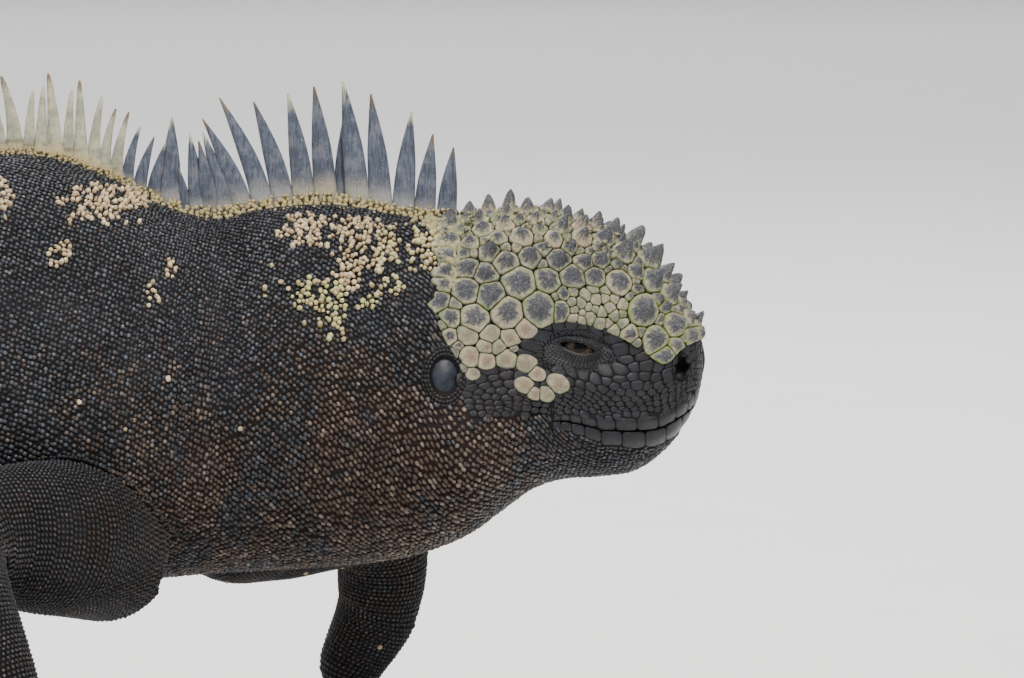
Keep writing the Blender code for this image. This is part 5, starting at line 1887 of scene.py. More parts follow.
def crown_finish():
    """Chalky shields: cream rims, striped slate cones, moss in the grooves and brown flecks."""
    colours = bpy.context.scene.iguana_colours
    finish = Finish("crown", Specular_IOR_Level=0.3)
    crusted, dark_tip, moss = finish.stored("marks")
    rise, tone, streak = finish.stored("form")
    fringe = crusted.rise(1.4, 1.6)
    chalk = finish.noise(0.6, 5.0, 0.7)
    blotch = finish.noise(2.4, 3.0)
    fleck = finish.noise(0.26, 2.0)
    cream = finish.mix(blotch.rise(0.35, 0.65), tuple(colours.cream), tuple(colours.cream_shade))
    cream = finish.mix(tone.rise(0.55, 1.0) * 0.6, cream, tuple(colours.cream_pink))
    cream = finish.mix(fringe * (0.35 + tone * 0.6), cream, tuple(colours.knob))
    plate = (1.0 - dark_tip.rise(0.02, 0.1)) * (1.0 - fringe)
    cream = finish.mix(plate * fleck.rise(0.45, 0.6) * 0.6, cream, tuple(colours.plate_brown))
    dust = finish.noise(0.55, 2.0)
    motes = finish.noise(0.8, 2.0, 0.6, 1.3)
    cream = finish.mix(dust.rise(0.53, 0.6) * (1.0 - fringe) * 0.55, cream, tuple(colours.cream_shade))
    cream = finish.mix(motes.rise(0.56, 0.62) * (1.0 - fringe) * 0.4, cream, tuple(colours.horn_slate))
    cream = finish.mix(fleck.rise(0.5, 0.66) * (1.0 - crusted).clamp() * 0.7, cream, tuple(colours.horn_pale))
    slate = finish.mix(fleck.rise(0.45, 0.75) * 0.7, tuple(colours.horn_slate), tuple(colours.horn_pale))
    slate = finish.mix(chalk.rise(0.52, 0.7) * tone * 0.8, slate, tuple(colours.horn_brown))
    slate = finish.mix(dust.rise(0.54, 0.62) * (0.15 + 0.3 * tone), slate, tuple(colours.horn_pale))
    slate = finish.mix(motes.rise(0.6, 0.66) * 0.4, slate, tuple(colours.cream))
    edge = 0.25 + 0.2 * crusted.clamp() - 0.24 * dark_tip + tone * 0.16
    spread = rise + (chalk - 0.5) * 0.6 + (motes - 0.5) * 0.4 + (streak - 0.5) * 0.26
    centre = ((spread - edge).rise(0.0, 0.3) * dark_tip.rise(0.05, 0.3)).clamp()
    body = finish.mix(centre, cream, slate)
    warm = (rise + (chalk - 0.5) * 0.9 + (fleck - 0.5) * 0.5).rise(0.2, 0.8) * plate * (0.55 + 0.4 * tone)
    body = finish.mix(warm, body, tuple(colours.plate_brown))
    brown = (fleck.rise(0.6, 0.75) * blotch.rise(0.45, 0.6) * 0.6).clamp()
    body = finish.mix(brown, body, tuple(colours.horn_brown))
    green = ((1.0 - (rise + motes * 0.3).rise(0.1, 0.4)) * moss * (0.08 + 0.8 * blotch.rise(0.4, 0.62))).clamp()
    body = finish.mix(green, body, tuple(colours.moss))
    # The grooves between the shields darken to moss green or dark brown.
    groove = 1.0 - (rise + fleck * 0.04).rise(0.0, 0.07)
    depth = finish.mix((moss * 1.4).clamp(), tuple(colours.groove_brown), tuple(colours.moss_dark))
    depth = finish.mix(moss.rise(0.75, 1.0), depth, tuple(colours.moss))
    body = finish.mix(groove * 0.95, body, depth)
    height = chalk * 0.6 + fleck * 0.3 + streak * 0.1
    normal = finish.bump(height, 0.65, 0.9)
    return finish.feed(Base_Color=body, Roughness=chalk * 0.25 + 0.5, Normal=normal)


def keep_on_crown(lay, outline, angles):
    """Draws in the outlines that would hang over the crown's edge."""
    ways = np.stack([np.cos(angles), np.sin(angles)], axis=1)[None]

    def inside(reach):
        points, _ = lay(ways * reach[:, :, None])
        station = SNOUT_X - points[:, 0]
        held = points[:, 2] > edge_height(station) - CROWN_SLACK
        held &= station < CROWN_END + 1.6 + 1.1 * np.sin(points[:, 2] * 0.83) + 0.5 * np.sin(points[:, 2] * 2.1)
        return held.reshape(reach.shape)

    low, high = outline * 0.3, outline.copy()
    whole = inside(outline)
    for _ in range(6):
        middle = (low + high) / 2
        held = inside(middle)
        low, high = np.where(held, middle, low), np.where(held, high, middle)
    return np.where(whole, outline, low)


CROWN_SLACK = 0.5


def make_crown():
    """The crown: many-sided shields with conical middles, and granules above the eyes."""
    finish = material("crown", crown_finish)
    places, radii, cones, kinds = crown_seeds()
    chance = np.random.default_rng(19)
    points, _ = crown_chart(places)
    station, height = SNOUT_X - points[:, 0], points[:, 2]
    front = smooth_step(36.0, 8.0, station)
    low = smooth_step(152.0, 136.0, height)
    moss = np.clip(0.1 + 0.55 * front + 0.5 * low + chance.uniform(-0.15, 0.2, len(places)), 0.0, 1.0)
    moss = np.where(kinds == 1.0, moss * 0.35, moss)
    moss = np.maximum(moss, smooth_step(132.0, 125.0, height) * smooth_step(18.0, 13.0, station))
    crust = smooth_step(149.0, 157.0, height) * smooth_step(24.0, 34.0, station)
    crust *= np.where(kinds == 3.0, 0.45, 1.0)
    frames = chart_frames(crown_chart, places)
    for name in ("crown_shields", "crown_granules", "crown_ridge"):
        small = radii < 1.5
        chosen = {"crown_shields": ~small & (kinds != 3.0), "crown_granules": small, "crown_ridge": kinds == 3.0}[name]
        count = chosen.sum()
        fine = name == "crown_granules"
        sides = 14 if fine else 28
        angles = np.arange(sides) / sides * TAU
        lay = true_size(crown_chart, places[chosen])
        cells = mosaic(places, radii, angles, 2.1, 24.0, frames)[chosen]
        temple = (kinds[chosen] == 1.0)[:, None]
        oval = 1.0 / np.hypot(np.cos(angles) / TEMPLE_LENGTH, np.sin(angles) / TEMPLE_WIDTH)[None]
        held = radii[chosen][:, None] * oval
        outline = np.where(temple, np.minimum(cells, held), keep_on_crown(lay, cells, angles))
        outline = np.clip(outline - (0.04 if fine else 0.055), 0.3, None)
        rims = np.select([kinds[chosen] == 1.0, kinds[chosen] == 2.0], [0.75, 0.8], 1.1)
        rims = rims * chance.uniform(0.85, 1.15, count)
        dark = np.clip((cones[chosen] - 0.3) / 1.6, 0.0, 1.0) * chance.uniform(0.7, 1.15, count)
        dark = np.select([kinds[chosen] == 1.0, kinds[chosen] == 2.0], [0.0, 0.13], np.clip(dark, 0.2, 1.0))
        marks = np.column_stack([crust[chosen], dark, moss[chosen]])
        lean = np.array([0.16, 0.0, 0.3]) + chance.normal(size=(count, 3)) * 0.09
        profile, inner = (SMALL_SECTION, 3) if fine else (PLATE_SECTION, 7)
        made = plate_piece(
            name, crown_chart, places[chosen], outline, cones[chosen], rims, lean, marks, chance.uniform(0, 1, count),
            finish, sides, 51, 0.0 if fine else 0.1, profile, inner, 0.75 if name == "crown_ridge" else 0.15, lay,
        )
        own(made, "crown")
    make_crust(finish)


CRUST_COUNT = 900


def make_crust(finish):
    """Crumbs of salt between the cones over the top of the crown."""
    pebble = read_mesh_shape(6, 0.62, 0.72, 1.0)
    chance = np.random.default_rng(71)
    hide = State.plain
    station = chance.uniform(16.0, CROWN_END, CRUST_COUNT)
    along = np.interp(station, hide.stations, hide.back)
    across = chance.normal(0.0, 9.0, CRUST_COUNT)
    points, normals = crown_chart(np.column_stack([along, across]))
    patchy = ripple(points, 3.5, 12) + chance.uniform(-0.4, 0.4, CRUST_COUNT)
    held = (points[:, 2] > 149.0) & (patchy > -0.1) & (SNOUT_X - points[:, 0] < CROWN_END)
    points, normals, station, across = points[held], normals[held], station[held], across[held]
    count = len(points)
    points = points + normals * chance.uniform(0.5, 1.9, count)[:, None]
    size = chance.uniform(0.45, 1.05, count)
    sizes = np.column_stack([size, size * 0.8, size * chance.uniform(0.8, 1.7, count)])
    ways = normals + chance.normal(size=(count, 3)) * 0.4
    ways /= np.linalg.norm(ways, axis=1, keepdims=True)
    marks = np.column_stack([np.ones(count), np.full(count, 0.13), np.full(count, 0.15)])
    bake = body_map(station, (across / hide.girth(station)) % 1.0)
    heads = chance.normal(size=(count, 3))
    tones = chance.uniform(0.0, 0.8, count)
    made = stamp("crown_crust", pebble, points, ways, heads, sizes, marks, tones, bake, finish, -0.2)
    own(made, "crown")


def spine_finish():
    """Horn of the spines: slate blue with pale roots and brown or white tips."""
    colours = bpy.context.scene.iguana_colours
    finish = Finish("spines", Specular_IOR_Level=0.3)
    cream, tip_tint, moss = finish.stored("marks")
    rise, tone, _ = finish.stored("form")
    streak = finish.node(
        "ShaderNodeTexNoise",
        {},
        {
            "Vector": finish.node(
                "ShaderNodeMapping", {}, {"Vector": finish.place(), "Scale": (1.0, 1.0, 0.1)}
            ),
            "Scale": 1.0 / (0.42 * MM),
            "Detail": 3.0,
        },
    )
    fleck = finish.noise(0.5, 3.0, 0.7)
    blotch = finish.noise(3.5, 3.0)
    slate = finish.mix(streak.rise(0.3, 0.7), tuple(colours.spine_dark), tuple(colours.spine_blue))
    slate = finish.mix(blotch.rise(0.5, 0.66) * 0.45, slate, tuple(colours.spine_lilac))
    slate = finish.mix((1.0 - blotch.rise(0.36, 0.5)) * 0.4, slate, tuple(colours.horn_slate))
    slate = finish.mix(fleck.rise(0.6, 0.7) * 0.55, slate, tuple(colours.spine_pale))
    bone = finish.mix(blotch.rise(0.35, 0.65), tuple(colours.bone), tuple(colours.bone_shade))
    bone = finish.mix(streak.rise(0.5, 0.7) * 0.6, bone, tuple(colours.horn_pale))
    bone = finish.mix(fleck.rise(0.58, 0.68) * 0.8, bone, tuple(colours.horn_brown))
    horn = (cream + (blotch - 0.5) * 0.5).rise(0.35, 0.65)
    body = finish.mix(horn, slate, bone)
    root = 1.0 - (rise + (fleck - 0.5) * 0.25 + (streak - 0.5) * 0.2).rise(0.12, 0.34)
    foot = finish.mix((cream + tone * 0.4).rise(0.1, 0.6), tuple(colours.spine_pale), tuple(colours.knob))
    body = finish.mix(root * 0.85, body, foot)
    # A dark brown band in the notch between a pale spine's foot and its blade.
    ring = rise.rise(0.22, 0.25) * (1.0 - rise.rise(0.26, 0.3)) * cream.rise(0.1, 0.5)
    body = finish.mix(ring * blotch.rise(0.4, 0.6) * 0.45, body, tuple(colours.groove_brown))
    end = (rise + (streak - 0.5) * 0.25).rise(0.84, 0.97)
    tip = finish.mix(tip_tint.rise(0.45, 0.7), tuple(colours.horn_brown), tuple(colours.bone))
    body = finish.mix(end * 0.85, body, tip)
    green = (1.0 - rise.rise(0.0, 0.16)) * moss
    body = finish.mix(green.clamp(), body, tuple(colours.moss))
    normal = finish.bump(streak * 0.7 + fleck * 0.3, 0.35, 0.7)
    return finish.feed(Base_Color=body, Roughness=fleck * 0.25 + 0.38, Normal=normal)


SPINE_RINGS = 16
SPINE_SIDES = 12
# Widths of a nape spine and of a spine of the back at shares of their height.
SPINE_SHARES = (0.0, 0.1, 0.18, 0.24, 0.28, 0.42, 0.54, 0.7, 0.85, 0.95, 1.0)
NAPE_WIDTHS = (1.04, 1.04, 1.02, 1.0, 0.98, 0.92, 0.83, 0.61, 0.35, 0.16, 0.08)
BACK_WIDTHS = (1.1, 1.12, 1.12, 1.02, 0.88, 0.74, 0.64, 0.5, 0.37, 0.26, 0.14)
SPINE_SINK = 2.5


def crest_rows(chance):
    """Every spine of the crest: station, height, lean back and length of its root."""
    rows = [tuple(row) for row in SHOWN_SPINES]
    station = CREST[0][0]
    while station < CREST[-1][0]:
        height, spacing, lean = read_rows(CREST, np.array([station]))[0]
        grow = chance.uniform(0.8, 1.12)
        rows.append((station, height * grow, lean * grow, spacing * chance.uniform(0.82, 1.0)))
        station += spacing * chance.uniform(0.92, 1.08)
    return np.array(rows)


def make_crest():
    """The crest: flattened blades from the nape to the end of the tail."""
    finish = material("spines", spine_finish)
    chance = np.random.default_rng(13)
    rows = crest_rows(chance)
    count = len(rows)
    station, tall, lean, length = rows.T
    roots, _ = State.plain.at(station, np.zeros(count))
    _, _, turned = backbone(station)
    back = np.column_stack([-np.cos(turned), np.sin(turned), np.zeros(count)])
    side = np.column_stack([np.sin(turned), np.cos(turned), np.zeros(count)])
    up = np.array([0.0, 0.0, 1.0])
    offset = np.where(np.abs(station - 100.6) < 0.1, 1.6, chance.uniform(-0.35, 0.35, count))
    tilt = chance.uniform(-0.05, 0.05, count)
    thick = np.clip(length * 0.44, 0.9, 2.8)
    horned = smooth_step(150.0, 170.0, station)
    tall = tall * np.interp(station, (70.0, 95.0, 150.0, 170.0), (1.15, 1.12, 1.1, 1.06))
    length = length * 1.08
    angles = np.arange(SPINE_SIDES) / SPINE_SIDES * TAU
    sink = np.minimum(SPINE_SINK, roots[:, 2] * 0.3)
    rings, rises = [], []
    for share in np.linspace(0.0, 1.0, SPINE_RINGS):
        nape, hind = [np.interp(share, SPINE_SHARES, widths) for widths in (NAPE_WIDTHS, BACK_WIDTHS)]
        wide = nape * (1 - horned) + hind * horned
        flat = np.interp(share, (0.0, 0.3, 0.7, 1.0), (1.0, 0.75, 0.45, 0.12))
        curve = share ** (1.5 + 0.7 * horned)
        middle = roots + up * (share * (tall + sink) - sink)[:, None] + back * (lean * curve)[:, None]
        middle = middle + side * (offset + tilt * tall * share)[:, None]
        a = np.sign(np.cos(angles)) * np.abs(np.cos(angles)) ** 0.9
        b = np.sin(angles) * (1.0 - 0.25 * np.abs(np.cos(angles)))
        ring = middle[:, None] + back[:, None] * (a[None] * (length * wide / 2)[:, None])[:, :, None]
        ring = ring + side[:, None] * (b[None] * (thick * flat / 2)[:, None])[:, :, None]
        rings.append(ring)
        rises.append(np.full((count, SPINE_SIDES), share))
    body = np.stack(rings, axis=1).reshape(count, -1, 3)
    tip = rings[-1].mean(axis=1, keepdims=True) + up * 0.2
    foot = rings[0].mean(axis=1, keepdims=True)
    points = np.concatenate([body, tip, foot], axis=1)
    total = SPINE_RINGS * SPINE_SIDES + 2
    column = np.arange(SPINE_SIDES)
    onward = (column + 1) % SPINE_SIDES
    high = (SPINE_RINGS - 1) * SPINE_SIDES
    top = np.column_stack([high + onward, high + column, np.full(SPINE_SIDES, total - 2)])
    low = np.column_stack([column, onward, np.full(SPINE_SIDES, total - 1)])
    offsets = (np.arange(count) * total)[:, None, None]
    walls = ring_faces(SPINE_RINGS, SPINE_SIDES)[:, ::-1]
    blocks = [(block[None] + offsets).reshape(-1, block.shape[1]) for block in (walls, np.vstack([top, low]))]
    rise = np.concatenate([np.stack(rises, axis=1).reshape(count, -1), np.ones((count, 1)), np.zeros((count, 1))], axis=1)
    bake = np.column_stack([0.01 + 0.02 * rise.ravel(), np.repeat(BAKE_BODY_SHARE * station / TAIL_TIP, total)])
    made = new_piece("crest_spines", points.reshape(-1, 3), blocks, finish, bake)
    cream = smooth_step(156.0, 172.0, station) * smooth_step(330.0, 200.0, station) * 0.9
    mixed = smooth_step(146.0, 154.0, station) * smooth_step(186.0, 176.0, station)
    cream = np.clip(cream + chance.uniform(-0.5, 0.6, count) * mixed, 0.0, 1.0)
    moss = smooth_step(150.0, 90.0, station) * 0.6
    marks = np.column_stack([cream, chance.uniform(0, 1, count), moss])
    form = np.column_stack([rise.ravel(), np.repeat(chance.uniform(0, 1, count), total), np.zeros(count * total)])
    lay_marks(made.data, np.repeat(marks, total, axis=0), form)
    own(made, "crest")


def make_fringe():
    """Knobs and small pale scales along the crest's foot, and the clumps behind the crown."""
    finish = material("crown", crown_finish)
    pebble = read_mesh_shape(6, 0.62, 0.72, 1.0)
    hide = State.fine
    chance = np.random.default_rng(29)
    blocks = []
    for side in (RIGHT, LEFT):
        layers = ((2.6, 0.0, 0.9, 1.25), (2.2, 0.9, 0.8, 1.15), (1.9, 1.8, 0.75, 1.05), (1.6, 2.6, 0.6, 0.9))
        for gap, lift, low, high in layers:
            station = np.arange(69.0, 236.0, 1.6)
            station = station + chance.uniform(-0.5, 0.5, len(station))
            thin = np.interp(station, (150.0, 170.0), (1.0, 0.72))
            size = chance.uniform(low, high, len(station)) * thin
            gap = gap * thin + chance.uniform(-0.3, 0.3, len(station))
            raised = np.full(len(station), lift) * thin + chance.uniform(-0.3, 0.3, len(station)) * (lift > 0)
            held = chance.uniform(0, 1, len(station)) < np.where(lift > 2.0, 0.75, 1.0)
            rows = np.column_stack([station, side * gap, size, size * 1.2, np.full(len(station), 0.4), raised])
            blocks.append(rows[held])
        station = np.arange(70.0, 200.0, 1.2)
        gap = 4.6 + chance.uniform(-0.5, 0.5, len(station))
        size = chance.uniform(0.45, 0.75, len(station))
        held = chance.uniform(0, 1, len(station)) < 0.4
        flat = np.zeros(len(station))
        blocks.append(np.column_stack([station, side * gap, size, size, flat, flat])[held])
        count = 360
        gap = chance.uniform(0.5, 34.0, count)
        wide = np.where(gap < 12.0, 2.6, 1.3)
        station = 72.0 + chance.normal(0.0, 1.0, count) * wide + 0.6 * np.sin(gap * 0.9)
        station = np.clip(station - 0.05 * gap + np.where(gap < 12.0, 1.6, 0.0), 67.5, 81.0)
        size = chance.uniform(0.7, 1.4, count)
        tall = size * chance.uniform(0.9, 2.0, count)
        blocks.append(np.column_stack([station, side * gap, size, tall, np.ones(count), np.zeros(count)]))
    station, away, size, tall, clump, raised = np.vstack(blocks).T
    share = away / hide.girth(station)
    points, normals = hide.at(station, share)
    points[:, 2] += raised
    heads = chance.normal(size=(len(points), 3))
    ways = normals + chance.normal(size=normals.shape) * (0.12 + 0.3 * clump)[:, None]
    ways += np.column_stack([0 * away, np.sign(away), 0 * away]) * (0.8 * (clump == 0.4))[:, None]
    ways += np.array([-0.25, 0.0, 0.35]) * clump[:, None]
    ways /= np.linalg.norm(ways, axis=1, keepdims=True)
    sizes = np.column_stack([size, size * 0.85, tall])
    moss = np.clip(smooth_step(150.0, 80.0, station) * 0.35 + chance.uniform(-0.2, 0.2, len(size)), 0, 1)
    marks = np.column_stack([np.full(len(size), 2.0), np.zeros(len(size)), moss])
    tones = np.where(clump < 0.5, chance.uniform(0.4, 1, len(size)), chance.uniform(0, 0.6, len(size)))
    bake = body_map(np.clip(station, 0, TAIL_TIP), share)
    made = stamp("crest_fringe", pebble, points, ways, heads, sizes, marks, tones, bake, finish, -0.25)
    own(made, "crown")


def face_chart(side):
    """Turns station and height on one side of the face into points and the ways out of it."""

    def chart(flat):
        station = np.clip(flat[:, 0], 0.0, None)
        share = State.plain.share_at(station, flat[:, 1], side)
        return State.plain.at(station, share)

    return chart


def face_finish():
    """Smooth dark plates of the lips, cheeks and lids."""
    colours = bpy.context.scene.iguana_colours
    finish = Finish("face_plates", Specular_IOR_Level=0.32)
    _, rust, _ = finish.stored("marks")
    rise, tone, _ = finish.stored("form")
    cloud = finish.noise(3.0, 4.0)
    grain = finish.noise(0.35, 3.0)
    dark = finish.mix(tone, tuple(colours.plate_dark), tuple(colours.plate_blue))
    dark = finish.mix((rust * cloud.rise(0.35, 0.65)).clamp(), dark, tuple(colours.rust))
    # Painted highlight: the raised middles of the plates are coloured lighter, broken up by grain and clouds.
    painted_highlight = ((rise + (grain - 0.5) * 0.6).rise(0.1, 0.8) * (0.1 + cloud.rise(0.3, 0.75) * 0.6)).clamp()
    body = finish.mix(painted_highlight, dark, tuple(colours.plate_painted_sheen))
    edge = 1.0 - rise.rise(0.0, 0.06)
    body = finish.mix(edge * 0.9, body, tuple(colours.charcoal))
    normal = finish.bump(grain * 0.7 + cloud * 0.5, 0.4, 0.6)
    return finish.feed(Base_Color=body, Roughness=grain * 0.4 + 0.24, Normal=normal)


def lip_length():
    """Stations and lengths along the line of the upper lip, from the front."""
    station = np.linspace(0.25, MOUTH_CORNER, 160)
    height = np.interp(station, MOUTH_STATIONS, MOUTH_HEIGHTS)
    share = State.plain.share_at(station, height, LEFT)
    points, _ = State.plain.at(station, share)
    length = np.concatenate([[0.0], np.cumsum(np.linalg.norm(np.diff(points, axis=0), axis=1))])
    return station, length


def lip_chart(side):
    """Turns length along the lip and height over the mouth into points of the face."""
    stations, lengths = lip_length()

    def chart(flat):
        station = np.interp(flat[:, 0], lengths, stations)
        beyond = np.clip(flat[:, 0] - lengths[-1], 0.0, None)
        station = station + beyond
        height = np.interp(station, MOUTH_STATIONS, MOUTH_HEIGHTS) + flat[:, 1]
        share = State.plain.share_at(station, height, side)
        return State.plain.at(station, share)

    return chart


UPPER_LABIALS = (1.6, 3.2, 3.4, 3.6, 3.8, 4.1, 4.2, 4.0, 3.6, 3.0, 2.3, 1.8, 1.5)
LOWER_LABIALS = (1.8, 3.4, 3.6, 3.8, 3.9, 4.0, 4.0, 3.6, 3.0, 2.4, 1.9, 1.5)


def make_lips():
    """The plates along the upper and lower lips, with the dark line of the mouth between them."""
    finish = material("face_plates", face_finish)
    chance = np.random.default_rng(37)
    sides = 20
    angles = np.arange(sides) / sides * TAU
    for side, word in ((RIGHT, "right"), (LEFT, "left")):
        for lengths, level, name in ((UPPER_LABIALS, 2.15, "upper"), (LOWER_LABIALS, -2.2, "lower")):
            whole = lip_length()[1][-1]
            widths = np.array(lengths) * whole / sum(lengths)
            edges = np.concatenate([[0.0], np.cumsum(widths)])
            middles = (edges[1:] + edges[:-1]) / 2
            half = widths / 2 - 0.03
            tall = (1.9 if level > 0 else 2.35) * lip_taper(np.interp(middles, lip_length()[1], lip_length()[0]))
            c, s = np.abs(np.cos(angles)), np.abs(np.sin(angles))
            outline = ((c[None] / half[:, None]) ** 7 + (s[None] / tall[:, None]) ** 7) ** (-1 / 7)
            places = np.column_stack([middles, np.sign(level) * (0.2 + tall)])
            count = len(places)
            marks = np.column_stack([np.zeros(count), chance.uniform(0, 0.2, count) * (level < 0), np.zeros(count)])
            made = plate_piece(
                f"lips_{name}_{word}", lip_chart(side), places, outline, np.full(count, 0.08),
                np.full(count, 0.22), np.zeros((count, 3)), marks, chance.uniform(0, 0.6, count), finish, sides, 61,
                0.0, FLAT_SECTION,
            )
            own(made, "skin")


def make_face():
    """Plates between the lips, the eye, the nostril and the ear, large before the eye and narrow below it."""
    finish = material("face_plates", face_finish)
    chance = np.random.default_rng(43)
    stretch = np.array([0.6, 1.0])
    sides = 14
    angles = np.arange(sides) / sides * TAU
    spread = np.arctan2(np.sin(angles), np.cos(angles) * stretch[0])
    stations, lengths = lip_length()
    whole = lengths[-1]
    for side, word in ((RIGHT, "right"), (LEFT, "left")):
        places, radii = [], []
        height = LABIAL_HEIGHT + 0.7
        row = 0
        while height < 36.0:
            pitch = np.interp(height, (4.0, 5.5, 9.0, 12.0, 16.0), (1.5, 1.15, 1.25, 2.1, 2.8))
            step = np.interp(height, (4.0, 5.5, 9.0, 12.0, 16.0), (2.6, 2.4, 2.8, 3.3, 3.8))
            along = np.arange(0.2 + 0.5 * step * (row % 2), whole + 27.0, step)
            along = along + chance.uniform(-0.3, 0.3, len(along))
            bend = 0.5 * np.sin(along * 0.35 + row)
            bend = bend - LABIAL_HEIGHT * (1.0 - lip_taper(np.interp(along, lengths, stations)))
            places.append(np.column_stack([along, height + bend + chance.uniform(-0.15, 0.15, len(along))]))
            radii.append(np.full(len(along), pitch * 0.54))
            height += pitch
            row += 1
        places, radii = np.vstack(places), np.concatenate(radii)
        chart = lip_chart(side)
        points, _ = chart(places)
        station, level = SNOUT_X - points[:, 0], points[:, 2]
        edge = read_rows(CROWN_EDGE, station)[:, 0]
        held = (level < edge + 0.5) & (station < FACE_END) & (np.abs(points[:, 1] - SNOUT_Y) > 2.0)
        held &= places[:, 1] > LABIAL_HEIGHT * lip_taper(station) + 0.35
        eye = np.hypot((station - EYE_STATION) / ORBIT_HALF_LENGTH, (level - EYE_HEIGHT) / ORBIT_HALF_HEIGHT)
        held &= eye > 0.95
        nose = np.hypot((station - NOSTRIL_STATION) / 2.3, (level - NOSTRIL_HEIGHT) / 3.2)
        held &= nose > 1.1
        for place, high, radius in TEMPLE_PLATES:
            held &= np.hypot(station - place, level - high) > radius * 0.5
        places, radii, station = places[held], radii[held], station[held]
        radii = radii * chance.uniform(0.85, 1.15, len(radii))
        outline = mosaic(places * stretch, radii, spread, 1.5, 18.0)
        outline = outline / np.hypot(np.cos(angles) * stretch[0], np.sin(angles))[None]
        outline = np.clip(outline - 0.035, 0.25, 3.2)
        count = len(places)
        pale = chance.uniform(0, 0.25, count) + 0.3 * smooth_step(44.0, 58.0, station)
        marks = np.column_stack([np.zeros(count), pale, np.zeros(count)])
        rims = 0.3 * chance.uniform(0.8, 1.2, count)
        made = plate_piece(
            f"face_{word}", chart, places, outline, np.full(count, 0.06), rims,
            np.zeros((count, 3)), marks, chance.uniform(0, 1, count), finish, sides, 67, 0.0, FLAT_SECTION,
        )
        own(made, "skin")


def eye_finish():
    """A wet eye: black pupil, streaked brown iris and a dark rim."""
    colours = bpy.context.scene.iguana_colours
    finish = Finish("eyes", Specular_IOR_Level=0.12, Coat_Weight=0.1, Coat_Roughness=0.04)
    near, _, _ = finish.stored("form")
    streak = finish.noise(0.35, 3.0, 0.7, 0.6)
    patch = finish.noise(1.2, 2.0)
    iris = finish.mix(streak.rise(0.4, 0.6), tuple(colours.iris_dark), tuple(colours.iris))
    iris = finish.mix(patch.rise(0.55, 0.75) * 0.5, iris, tuple(colours.iris_gold))
    ring = finish.mix(near.rise(0.46, 0.56), iris, (0.006, 0.005, 0.005))
    body = finish.mix(near.rise(0.27, 0.31), (0.002, 0.002, 0.003), ring)
    return finish.feed(Base_Color=body, Roughness=streak * 0.1 + 0.12)


def eye_centre(side):
    """The middle of an eyeball."""
    return np.array([SNOUT_X - EYE_STATION, SNOUT_Y + side * EYE_SIDE, EYE_HEIGHT])


# The way an eye looks out of the right side of the head: forward, outward and up.
EYE_LOOK = (0.12, 0.97, 0.20)
CORNEA_SHARE = 0.55
CORNEA_RISE = 0.35


def make_eyes():
    """The eyeballs, each with a raised cornea."""
    finish = material("eyes", eye_finish)
    for side, word in ((RIGHT, "right"), (LEFT, "left")):
        centre = Vector(eye_centre(side) * MM)
        deselect()
        bpy.ops.mesh.primitive_uv_sphere_add(segments=64, ring_count=40, radius=EYE_RADIUS * MM, location=centre)
        eye = bpy.context.active_object
        eye.name = f"eyeball_{word}"
        bpy.ops.object.transform_apply(location=True, rotation=True, scale=True)
        points, _ = mesh_points(eye)
        look = np.array([EYE_LOOK[0], side * EYE_LOOK[1], EYE_LOOK[2]])
        look /= np.linalg.norm(look)
        middle = eye_centre(side)
        ways = (points - middle) / EYE_RADIUS
        angle = np.arccos(np.clip(ways @ look, -1.0, 1.0))
        rise = CORNEA_RISE * smooth_step(CORNEA_SHARE, 0.0, angle)
        points = middle + ways * (EYE_RADIUS + rise)[:, None]
        eye.data.vertices.foreach_set("co", (points * MM).astype(np.float32).ravel())
        eye.data.update()
        eye.data.shade_smooth()
        eye.data.materials.append(finish)
        zeros = np.zeros(len(points))
        lay_marks(eye.data, np.zeros((len(points), 3)), np.column_stack([angle, zeros, zeros]))
        own(eye, "eye", f"eye_{word}")


LID_SLANT = math.radians(14.0)
LID_OPENING = (4.5, 1.25)
LID_LIFT = 0.9
LID_THICKNESS = 0.55
LID_AROUND = 144
LID_ACROSS = 34


def lid_surface(side, ring, turn):
    """Points of the lids: ring is 0 at the opening's edge and 1 at the edge of the orbit."""
    a0, b0 = LID_OPENING
    c, s = np.cos(turn), np.sin(turn)
    opening_s = b0 * np.sign(s) * np.abs(s) ** 1.25 * np.where(s > 0, 0.95, 1.0)
    spread = ring**0.92
    wide = a0 * (1 - spread) + ORBIT_HALF_LENGTH * spread
    x = wide * c
    z = opening_s * (1 - spread) + ORBIT_HALF_HEIGHT * s * spread
    slant = LID_SLANT * (1 - smooth_step(0.0, 0.9, ring))
    ahead, high = x * np.cos(slant) + z * np.sin(slant), -x * np.sin(slant) + z * np.cos(slant)
    high = high + LID_LIFT * (1 - smooth_step(0.0, 0.9, ring))
    station = EYE_STATION - ahead
    height = EYE_HEIGHT + high
    share = State.plain.share_at(station, height, side)
    base, _ = State.plain.at(station, share)
    skin_out = np.abs(base[:, 1] - SNOUT_Y)
    ball = EYE_RADIUS + LID_THICKNESS
    inside = np.clip(ball**2 - ahead**2 - high**2, 0.0, None)
    ball_out = np.where(inside > 0, EYE_SIDE + np.sqrt(inside), 0.0)
    soft = 0.7
    out = soft * np.logaddexp(skin_out / soft, ball_out / soft)
    upper = np.clip(s, 0.0, None)
    fold = 1.05 * np.exp(-(((ring - 0.18) / 0.12) ** 2)) * upper
    fold -= 0.8 * np.exp(-(((ring - 0.42) / 0.09) ** 2)) * upper
    fold += 0.35 * np.exp(-(((ring - 0.12) / 0.1) ** 2)) * np.clip(-s, 0.0, None)
    fold -= 0.35 * np.exp(-(((ring - 0.38) / 0.1) ** 2)) * np.clip(-s, 0.0, None)
    out = out + fold * smooth_step(0.0, 0.06, ring)
    edge = smooth_step(0.075, 0.0, ring)
    touch = np.where(inside > 0, EYE_SIDE + np.sqrt(np.clip(EYE_RADIUS**2 - ahead**2 - high**2, 0.0, None)) - 0.15, out)
    out = out * (1 - edge) + touch * edge
    out = out - 0.6 * smooth_step(0.93, 1.0, ring)
    return np.column_stack([SNOUT_X - station, SNOUT_Y + side * out, height])


